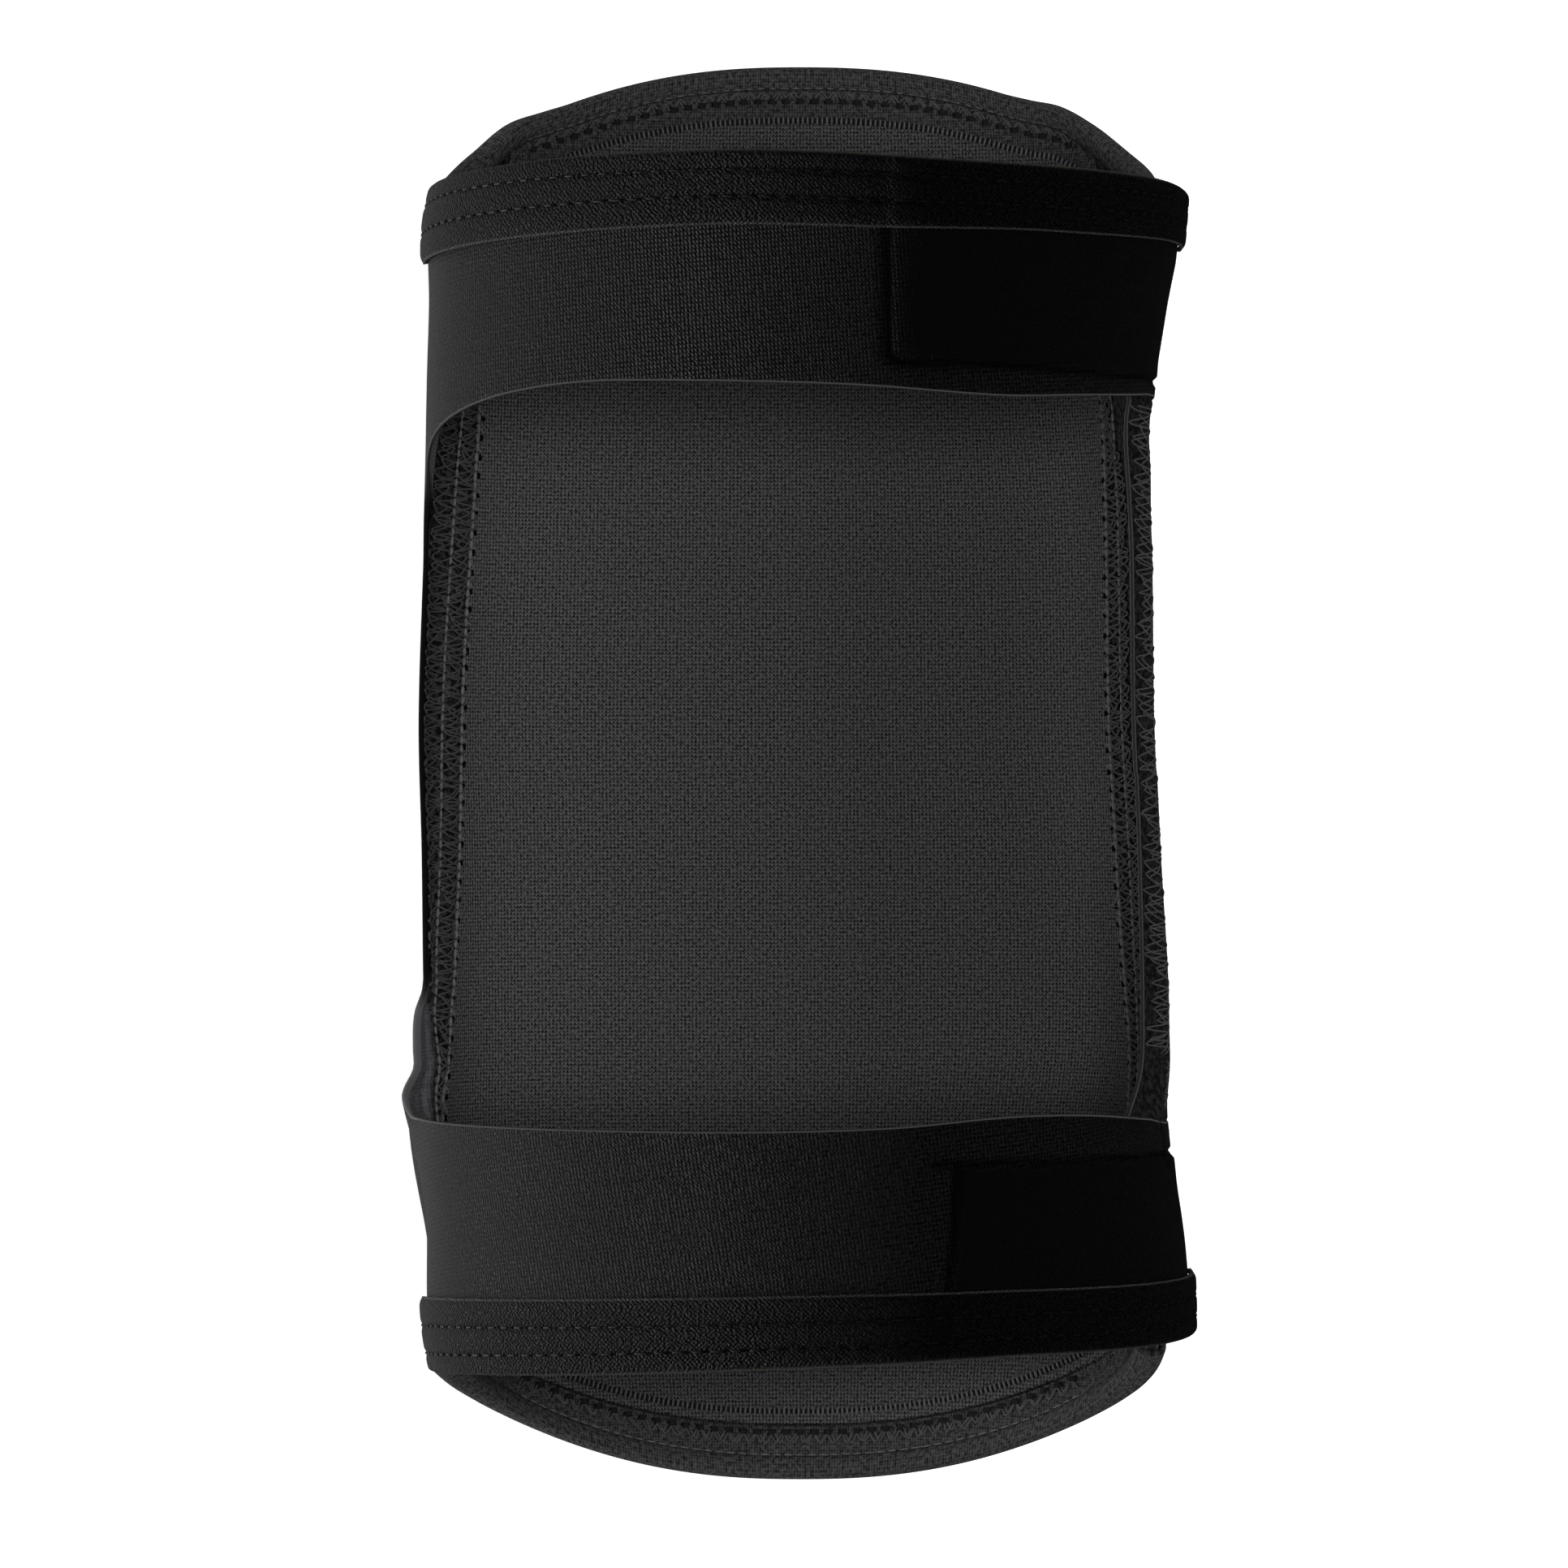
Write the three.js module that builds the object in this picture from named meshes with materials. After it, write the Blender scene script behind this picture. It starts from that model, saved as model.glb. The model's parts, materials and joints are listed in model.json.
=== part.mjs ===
// A soft knee pad for kneeling work: a padded front panel with a knitted lining, two side wings
// and two straps that close round the back of the knee.
//
// Millimetres. The pad lies on its front. +Z points up to the back of the knee, +Y runs along the
// leg and +X is to the right when the straps face the viewer.
//
// Every piece lies on one curved face, the face that touches the leg. A place on it is a girth s,
// measured along the cloth from the middle of the front (right is positive, and past the middle
// of the back it runs on down the other side), and a distance y along the leg. A depth is measured
// from that face outwards, away from the leg.
import * as THREE from "three";

// Driving sizes of the whole pad. The rounded ends drop by END_DROP at the girth of the seams.
const PAD_LENGTH = 245.6;
const PAD_THICKNESS = 23;
const HALF_GIRTH = 184;
const WIDEST_HEIGHT = 60;
const BACK_HEIGHT = 112;
const SEAM_GIRTH = 61;
const END_DROP = 13.2;
const END_POWER = 2.4;

// Thicknesses of the cloths, and the clearances between pieces side by side and in layers
const CLOTH = 2.5;
const LINING = 1.8;
const TAPE = 1.0;
const HOOK_TAPE = 1.2;
const GAP = 0.3;
const LAYER_GAP = 0.4;

// The hollow for the leg, one row for each section along it. left and right are half widths,
// front is its height above the surface that the pad lies on, and square says how squarely the
// front turns into the sides.
const SECTIONS = [
  { y: -126, left: 56.0, right: 57.0, front: 33.5, square: 2.8 },
  { y: -108, left: 58.8, right: 58.6, front: 30.2, square: 2.8 },
  { y: -94, left: 61.4, right: 59.5, front: 27.6, square: 3.3 },
  { y: -77, left: 61.7, right: 58.8, front: 25.2, square: 3.6 },
  { y: -62, left: 62.6, right: 58.2, front: 23.6, square: 3.6 },
  { y: -48, left: 62.4, right: 60.4, front: 22.6, square: 3.6 },
  { y: -15, left: 62.5, right: 60.0, front: 22.0, square: 3.6 },
  { y: 10, left: 63.0, right: 58.6, front: 22.0, square: 3.6 },
  { y: 46, left: 61.9, right: 57.6, front: 22.5, square: 3.6 },
  { y: 66, left: 61.7, right: 55.6, front: 24.0, square: 3.6 },
  { y: 80, left: 61.3, right: 56.2, front: 25.6, square: 3.6 },
  { y: 94, left: 61.2, right: 57.8, front: 27.6, square: 3.3 },
  { y: 108, left: 57.8, right: 58.4, front: 30.2, square: 2.7 },
  { y: 126, left: 55.5, right: 57.0, front: 33.5, square: 2.7 },
];
const BACK_SQUARENESS = 2.4;
const LOOP_STEPS = 180;

// The seams where the wings meet the pad, as girths to the left and to the right of the front
const SEAMS = [
  { y: -110, left: 67.0, right: 70.0 },
  { y: -60, left: 66.0, right: 70.0 },
  { y: 0, left: 61.5, right: 65.0 },
  { y: 62, left: 58.5, right: 63.0 },
  { y: 110, left: 57.5, right: 61.0 },
];

// The edges of the two straps along the leg, and wrap, the girth run to the left from the front
const STRAPS = {
  upper: [
    { wrap: 90, outer: 97.8, inner: 64.5 },
    { wrap: 184, outer: 101.2, inner: 64.8 },
    { wrap: 285, outer: 98.6, inner: 63.0 },
  ],
  lower: [
    { wrap: 90, outer: -100.8, inner: -59.4 },
    { wrap: 184, outer: -97.0, inner: -59.2 },
    { wrap: 285, outer: -96.6, inner: -57.6 },
  ],
};
const STRAP_END = 285;
const ENDS = [
  { name: "upper", sign: 1 },
  { name: "lower", sign: -1 },
];

// The window at the back of the knee: the rims of the wings, and how each corner sweeps from a
// rim into a strap, as an ellipse with its two half axes along the girth and along the leg
const LEFT_RIM = 80;
const RIGHT_RIM = 109;
const LEFT_SWEEP = { upper: { girth: 75, leg: 30 }, lower: { girth: 15, leg: 21 } };
const RIGHT_SWEEP = { upper: { girth: 20, leg: 16 }, lower: { girth: 26, leg: 20 } };

// The short arms of the right wing and the hook tapes between them and the straps
const ARM_END = { upper: 168, lower: 155 };
const ARM_INSET = { inner: 4.5, outer: 1.2 };
const HOOK_INSET = { inner: 3.6, outer: 6, end: 4 };
const HOOK_END = { upper: 170, lower: 157 };

// Where the strap lifts off the leg to pass over the right wing
const LIFT_FROM = 118;
const LIFT_TO = 186;

// A pucker that stands out where the lower strap leaves the left wing
const PUCKER = { wrap: 85, y: -54, out: 3.6, width: 11, height: 11 };

// The bindings: how far each leg of the folded tape reaches in from the edge
const END_BINDING_LEG = 5.8;
const END_BINDING_REACH = 82;
const STRAP_BINDING_OUTER = 11.8;
const STRAP_BINDING_INNER = 4;
const BINDING_CHAMFER = 0.7;

// The pad's ends: the plain border outside the lining, and how the padding rises from the edges
const LINING_INSET = 9.9;
const RECESS_STEP = 0.4;
const PAD_SIDE_EDGE = 4.2;
const PADDING_START = 7;
const PADDING_RISE = { girth: 30, leg: 46 };

// How finely the front panel and its lining are divided, and the row next to their ends
const PANEL_COLUMNS = 22;
const PANEL_ROWS = 15;
const EDGE_ROW = 17;

const clamp01 = (value) => Math.min(1, Math.max(0, value));
const mix = (from, to, share) => from + (to - from) * share;
const smoothStep = (from, to, value) => {
  const share = clamp01((value - from) / (to - from));
  return share * share * (3 - 2 * share);
};
const softMin = (a, b) => (a ** -6 + b ** -6) ** (-1 / 6);

// A column of a table read smoothly between its rows, level past the first and the last.
function readTable(rows, key, column, at) {
  const x = (i) => rows[i][key];
  const value = (i) => rows[i][column];
  const last = rows.length - 1;
  if (at <= x(0)) return value(0);
  if (at >= x(last)) return value(last);
  let i = 0;
  while (at > x(i + 1)) i += 1;
  const slope = (k) => {
    const low = Math.max(0, k - 1);
    const high = Math.min(last, k + 1);
    return (value(high) - value(low)) / (x(high) - x(low));
  };
  const span = x(i + 1) - x(i);
  const t = (at - x(i)) / span;
  const bend = t * t * (3 - 2 * t);
  const start = t * (1 - t) * (1 - t) * span * slope(i);
  const end = t * t * (t - 1) * span * slope(i + 1);
  return mix(value(i), value(i + 1), bend) + start + end;
}

// Half of the hollow's outline at y, from the middle of the front to the middle of the back.
const halfLoops = new Map();
function halfLoop(y, side) {
  const key = side + "@" + y.toFixed(3);
  if (halfLoops.has(key)) return halfLoops.get(key);
  const read = (column) => readTable(SECTIONS, "y", column, y);
  const reach = read(side < 0 ? "left" : "right");
  const front = read("front");
  const square = read("square");
  const points = [];
  let length = 0;
  for (let step = 0; step <= LOOP_STEPS; step += 1) {
    const angle = (Math.PI * step) / LOOP_STEPS;
    const isFront = 2 * step <= LOOP_STEPS;
    const rise = isFront ? WIDEST_HEIGHT - front : BACK_HEIGHT - WIDEST_HEIGHT;
    const power = isFront ? square : BACK_SQUARENESS;
    const across = Math.sin(angle) / reach;
    const along = Math.abs(Math.cos(angle)) / rise;
    const radius = (across ** power + along ** power) ** (-1 / power);
    const x = side * radius * Math.sin(angle);
    const z = WIDEST_HEIGHT - radius * Math.cos(angle);
    if (step > 0) {
      const before = points[step - 1];
      length += Math.hypot(x - before.x, z - before.z);
    }
    points.push({ x, z, length });
  }
  const loop = { points, length };
  halfLoops.set(key, loop);
  return loop;
}

// The point of the leg's face at girth s and distance y.
function legFace(s, y) {
  const girth = s < -HALF_GIRTH ? s + 2 * HALF_GIRTH : s;
  const { points, length } = halfLoop(y, girth < 0 ? -1 : 1);
  const target = (Math.abs(girth) / HALF_GIRTH) * length;
  let low = 0;
  let high = points.length - 1;
  while (high - low > 1) {
    const middle = (low + high) >> 1;
    if (points[middle].length > target) high = middle;
    else low = middle;
  }
  const share = (target - points[low].length) / (points[high].length - points[low].length);
  const x = mix(points[low].x, points[high].x, share);
  const z = mix(points[low].z, points[high].z, share);
  return new THREE.Vector3(x, y, z);
}

// The point at a depth outwards from the leg's face.
const PROBE = 0.6;
function place(s, y, depth) {
  const alongGirth = legFace(s + PROBE, y).sub(legFace(s - PROBE, y));
  const alongLeg = legFace(s, y + PROBE).sub(legFace(s, y - PROBE));
  const outwards = alongLeg.cross(alongGirth).normalize();
  return legFace(s, y).addScaledVector(outwards, depth);
}

// Edges and depths that the pieces share
const seamGirth = (side, y) => readTable(SEAMS, "y", side < 0 ? "left" : "right", y);

function wrapOf(s) {
  return s < 0 ? -s : 2 * HALF_GIRTH - s;
}

function strapEdge(end, column, s) {
  return readTable(STRAPS[end.name], "wrap", column, wrapOf(s));
}

// The outer edge all round: the pad's round end, running into the outer edge of the strap.
function outerEdge(end, s) {
  const peak = PAD_LENGTH / 2;
  const fromFront = s < -HALF_GIRTH ? HALF_GIRTH : Math.abs(s);
  const strapDrop = peak - Math.abs(strapEdge(end, "outer", s));
  const roundDrop = Math.max(1e-6, END_DROP * (fromFront / SEAM_GIRTH) ** END_POWER);
  return end.sign * (peak - softMin(roundDrop, strapDrop));
}

// How far a window's corner still is from its strap's inner edge.
function sweep({ girth, leg }, fromRim) {
  const left = 1 - clamp01(fromRim / girth);
  return leg * (1 - Math.sqrt(1 - left * left));
}

function strapInnerEdge(end, s) {
  return strapEdge(end, "inner", s) - end.sign * sweep(LEFT_SWEEP[end.name], -s - LEFT_RIM);
}

function armInnerEdge(end, s) {
  const straight = strapEdge(end, "inner", s) + end.sign * ARM_INSET.inner;
  return straight - end.sign * sweep(RIGHT_SWEEP[end.name], s - RIGHT_RIM);
}

function armOuterEdge(end, s) {
  const inset = ARM_INSET.outer * smoothStep(END_BINDING_REACH, END_BINDING_REACH + 6, s);
  return outerEdge(end, s) - end.sign * inset;
}

function strapDepth(s, y) {
  const lift = CLOTH + HOOK_TAPE + 2 * LAYER_GAP;
  const across = (-s - PUCKER.wrap) / PUCKER.width;
  const along = (y - PUCKER.y) / PUCKER.height;
  const pucker = PUCKER.out * Math.exp(-across * across - along * along);
  return lift * smoothStep(LIFT_FROM, LIFT_TO, -s) + pucker;
}

// Cloth cut from joined blocks of cells, which becomes a closed wall between two depths.
class Cloth {
  constructor() {
    this.nodes = [];
    this.cells = [];
    this.numbers = new Map();
  }

  node(s, y) {
    const key = s.toFixed(3) + "," + y.toFixed(3);
    if (!this.numbers.has(key)) {
      this.numbers.set(key, this.nodes.length);
      this.nodes.push({ s, y });
    }
    return this.numbers.get(key);
  }

  // Adds columns times rows cells; at gives s and y for the shares 0 to 1 across and along.
  block(columns, rows, at) {
    const number = (i, j) => this.node(...at(i / columns, j / rows));
    for (let i = 0; i < columns; i += 1) {
      for (let j = 0; j < rows; j += 1) {
        this.cells.push([number(i, j), number(i + 1, j), number(i + 1, j + 1), number(i, j + 1)]);
      }
    }
    return this;
  }

  wall(nearDepth, farDepth) {
    const near = this.nodes.map(({ s, y }) => place(s, y, nearDepth(s, y)));
    const far = this.nodes.map(({ s, y }) => place(s, y, farDepth(s, y)));
    const count = this.nodes.length;
    const corners = [];
    const quad = (a, b, c, d) => corners.push(a, b, c, a, c, d);
    const open = new Map();
    for (const [a, b, c, d] of this.cells) {
      quad(a, b, c, d);
      quad(d + count, c + count, b + count, a + count);
      for (const [from, to] of [[a, b], [b, c], [c, d], [d, a]]) {
        if (!open.delete(to + ">" + from)) open.set(from + ">" + to, [from, to]);
      }
    }
    for (const [from, to] of open.values()) quad(to, from, from + count, to + count);
    return solid([...near, ...far], corners);
  }
}

// A geometry from points and triangle corners, with nothing below the surface it lies on.
function solid(points, corners) {
  const geometry = new THREE.BufferGeometry();
  const lifted = points.map((p) => new THREE.Vector3(p.x, p.y, Math.max(0, p.z)));
  geometry.setFromPoints(lifted);
  geometry.setIndex(corners);
  geometry.computeVertexNormals();
  return geometry;
}

// The padded front: neoprene cover and foam as one body, with a recess for the lining.
function insetFromEnd(s, y) {
  return Math.min(...ENDS.map((end) => end.sign * (outerEdge(end, s) - y)));
}

function padNearDepth(s, y) {
  const recessEdge = LINING_INSET - GAP;
  const inRecess = smoothStep(recessEdge - RECESS_STEP, recessEdge, insetFromEnd(s, y));
  return (LINING + 1.5 * GAP) * inRecess;
}

const roundRise = (share) => Math.sin((Math.PI / 2) * clamp01(share));

function padFarDepth(s, y) {
  const inset = insetFromEnd(s, y) - PADDING_START;
  const edge = mix(CLOTH, PAD_SIDE_EDGE, smoothStep(0, LINING_INSET, inset));
  const fromSeam = (seamGirth(s, y) - Math.abs(s)) / PADDING_RISE.girth;
  const fromEnd = inset / PADDING_RISE.leg;
  return mix(edge, PAD_THICKNESS, roundRise(fromSeam) * roundRise(fromEnd));
}

// A node of the front panel; rowY gives y for a girth, which in turn moves the seam a little.
function panelNode(across, rowY) {
  let y = 0;
  let s = 0;
  for (let pass = 0; pass < 6; pass += 1) {
    s = across * (seamGirth(across, y) - GAP / 2);
    y = rowY(s);
  }
  return [s, y];
}

function panelCloth(insets) {
  const cloth = new Cloth();
  const edgeAt = (end, s, inset) => outerEdge(end, s) - end.sign * inset;
  const [upper, lower] = ENDS;
  const deepest = insets[insets.length - 1];
  const strip = (rows, low, high) =>
    cloth.block(PANEL_COLUMNS, rows, (u, v) => panelNode(2 * u - 1, (s) => mix(low(s), high(s), v)));
  for (let i = 0; i + 1 < insets.length; i += 1) {
    strip(1, (s) => edgeAt(lower, s, insets[i]), (s) => edgeAt(lower, s, insets[i + 1]));
    strip(1, (s) => edgeAt(upper, s, insets[i + 1]), (s) => edgeAt(upper, s, insets[i]));
  }
  strip(PANEL_ROWS, (s) => edgeAt(lower, s, deepest), (s) => edgeAt(upper, s, deepest));
  return cloth;
}

function frontPad() {
  const recessEdge = LINING_INSET - GAP;
  const insets = [0, PADDING_START, recessEdge - RECESS_STEP, recessEdge, EDGE_ROW];
  return panelCloth(insets).wall(padNearDepth, padFarDepth);
}

function padLining() {
  return panelCloth([LINING_INSET, EDGE_ROW]).wall(
    () => 0,
    () => LINING,
  );
}

// Rows lie closer together towards the outer edges, where the bindings are folded over them.
const crowd = (share) => share * (1.5 - 0.5 * share);

// A wing from its seam to its rim, with rows that match the arms above and below the window.
function addWing(cloth, side, rim, columns, armRows, windowRows, innerEdge, edge) {
  const rimS = side * rim;
  const corner = Object.fromEntries(ENDS.map((end) => [end.name, innerEdge(end, rimS)]));
  const wingNode = (u, rowY) => {
    let y = 0;
    let s = 0;
    for (let pass = 0; pass < 6; pass += 1) {
      s = side * mix(seamGirth(side, y) + GAP / 2, rim, u);
      y = rowY(s);
    }
    return [s, y];
  };
  const strip = (rows, rowY) =>
    cloth.block(columns, rows, (u, v) => wingNode(side > 0 ? u : 1 - u, (s) => rowY(s, v)));
  const [upper, lower] = ENDS;
  strip(armRows, (s, v) => mix(edge(lower, s), corner.lower, 1 - crowd(1 - v)));
  strip(windowRows, (s, v) => mix(corner.lower, corner.upper, v));
  strip(armRows, (s, v) => mix(corner.upper, edge(upper, s), crowd(v)));
}

// Girths from a rim to the end of an arm, closer together near the rim where the edge sweeps.
function armGirths(side, rim, armEnd, columns) {
  const girths = [];
  for (let i = 0; i <= columns; i += 1) {
    const along = i / columns;
    girths.push(side * mix(rim, armEnd, mix(along * along, along, 0.7)));
  }
  return girths;
}

// An arm that leaves a wing's rim and runs round the back.
function addArm(cloth, end, girths, rows, innerEdge, edge) {
  const ordered = girths[0] < 0 ? [...girths].reverse() : girths;
  const columns = girths.length - 1;
  cloth.block(columns, rows, (u, v) => {
    const s = ordered[Math.round(u * columns)];
    const across = crowd(end.sign > 0 ? v : 1 - v);
    return [s, mix(innerEdge(end, s), edge(end, s), across)];
  });
}

const STRAP_GIRTHS = armGirths(-1, LEFT_RIM, STRAP_END, 32);

function leftWingStraps() {
  const cloth = new Cloth();
  addWing(cloth, -1, LEFT_RIM, 5, 6, 7, strapInnerEdge, outerEdge);
  for (const end of ENDS) {
    addArm(cloth, end, STRAP_GIRTHS, 6, strapInnerEdge, outerEdge);
  }
  return cloth.wall(strapDepth, (s, y) => strapDepth(s, y) + CLOTH);
}

function rightWing() {
  const cloth = new Cloth();
  addWing(cloth, 1, RIGHT_RIM, 7, 9, 7, armInnerEdge, armOuterEdge);
  for (const end of ENDS) {
    const girths = armGirths(1, RIGHT_RIM, ARM_END[end.name], 9);
    addArm(cloth, end, girths, 9, armInnerEdge, armOuterEdge);
  }
  return cloth.wall(
    () => 0,
    () => CLOTH,
  );
}

// The hook tape sewn to the inside of a strap's end, which grips the right wing's arm.
function hookPatch(end) {
  const from = 2 * HALF_GIRTH - STRAP_END + HOOK_INSET.end;
  const cloth = new Cloth().block(12, 5, (u, v) => {
    const s = mix(from, HOOK_END[end.name], u);
    const inner = strapEdge(end, "inner", s) + end.sign * HOOK_INSET.inner;
    const outer = outerEdge(end, s) - end.sign * HOOK_INSET.outer;
    return [s, mix(inner, outer, end.sign > 0 ? v : 1 - v)];
  });
  const near = CLOTH + LAYER_GAP;
  return cloth.wall(
    () => near,
    () => near + HOOK_TAPE,
  );
}

// A tape folded over an edge: its section runs along the edge through a list of girths.
function binding(end, girths, { outerLeg, innerLeg, depthAt }) {
  const close = LAYER_GAP + TAPE;
  const top = (depth) => depth + CLOTH + LAYER_GAP;
  const section = (depth) => [
    [outerLeg, top(depth) + TAPE],
    [outerLeg / 2, top(depth) + TAPE],
    [BINDING_CHAMFER - close, top(depth) + TAPE],
    [-close, top(depth) + TAPE - BINDING_CHAMFER],
    [-close, depth - close + BINDING_CHAMFER],
    [BINDING_CHAMFER - close, depth - close],
    [innerLeg, depth - close],
    [innerLeg, depth - LAYER_GAP],
    [-LAYER_GAP, depth - LAYER_GAP],
    [-LAYER_GAP, top(depth)],
    [outerLeg / 2, top(depth)],
    [outerLeg, top(depth)],
  ];
  const ring = section(0).length;
  const points = [];
  for (const s of girths) {
    const y = outerEdge(end, s);
    for (const [inset, depth] of section(depthAt(s, y))) {
      points.push(place(s, y - end.sign * inset, depth));
    }
  }
  const steps = girths.length - 1;
  const facesOut = end.sign * (girths[steps] - girths[0]) > 0;
  const corners = [];
  const triangle = (a, b, c) => corners.push(...(facesOut ? [a, b, c] : [a, c, b]));
  for (let step = 0; step < steps; step += 1) {
    for (let k = 0; k < ring; k += 1) {
      const a = step * ring + k;
      const b = step * ring + ((k + 1) % ring);
      triangle(a, b, b + ring);
      triangle(a, b + ring, a + ring);
    }
  }
  const outline = section(0).map(([inset, depth]) => new THREE.Vector2(inset, depth));
  const lastRing = steps * ring;
  for (const [a, b, c] of THREE.ShapeUtils.triangulateShape(outline, [])) {
    triangle(a, c, b);
    triangle(lastRing + a, lastRing + b, lastRing + c);
  }
  return solid(points, corners);
}

function endBinding(end) {
  const steps = 40;
  const girths = [];
  for (let step = 0; step <= steps; step += 1) {
    girths.push(mix(-END_BINDING_REACH, END_BINDING_REACH, step / steps));
  }
  return binding(end, girths, {
    outerLeg: END_BINDING_LEG,
    innerLeg: END_BINDING_LEG,
    depthAt: () => 0,
  });
}

function strapBinding(end) {
  const start = -END_BINDING_REACH - 2 * GAP;
  const girths = [start, ...STRAP_GIRTHS.filter((s) => s < start - 1)];
  return binding(end, girths, {
    outerLeg: STRAP_BINDING_OUTER,
    innerLeg: STRAP_BINDING_INNER,
    depthAt: strapDepth,
  });
}

// Colours and finishes of the cloths
const cloth = (color, roughness) => new THREE.MeshStandardMaterial({ color, roughness, metalness: 0 });
const neoprene = cloth(0x1b1b1e, 0.82);
const padCover = cloth(0x232324, 0.88);
const knitLining = cloth(0x323234, 0.95);
const wovenTape = cloth(0x161617, 0.9);
const hookTape = cloth(0x101011, 0.7);

const kneePad = new THREE.Group();
kneePad.name = "knee_pad";
function add(name, geometry, material) {
  const mesh = new THREE.Mesh(geometry, material);
  mesh.name = name;
  kneePad.add(mesh);
}

add("front_pad", frontPad(), padCover);
add("pad_lining", padLining(), knitLining);
add("left_wing_straps", leftWingStraps(), neoprene);
add("right_wing", rightWing(), neoprene);
for (const end of ENDS) {
  add(end.name + "_end_binding", endBinding(end), wovenTape);
  add(end.name + "_strap_binding", strapBinding(end), wovenTape);
  add(end.name + "_hook_tape", hookPatch(end), hookTape);
}

// The origin is in the middle of the pad, on the surface it lies on.
const box = new THREE.Box3().setFromObject(kneePad);
const middle = box.getCenter(new THREE.Vector3());
for (const mesh of kneePad.children) mesh.geometry.translate(-middle.x, -middle.y, -box.min.z);

export default kneePad;
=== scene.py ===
"""A soft knee pad for kneeling work: cloth, padding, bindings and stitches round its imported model.

It lies on its padded front with both straps closed. Shapes are worked out in millimetres on one
curved face, the face that touches the leg, and become metres where a mesh is made.
"""

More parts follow.
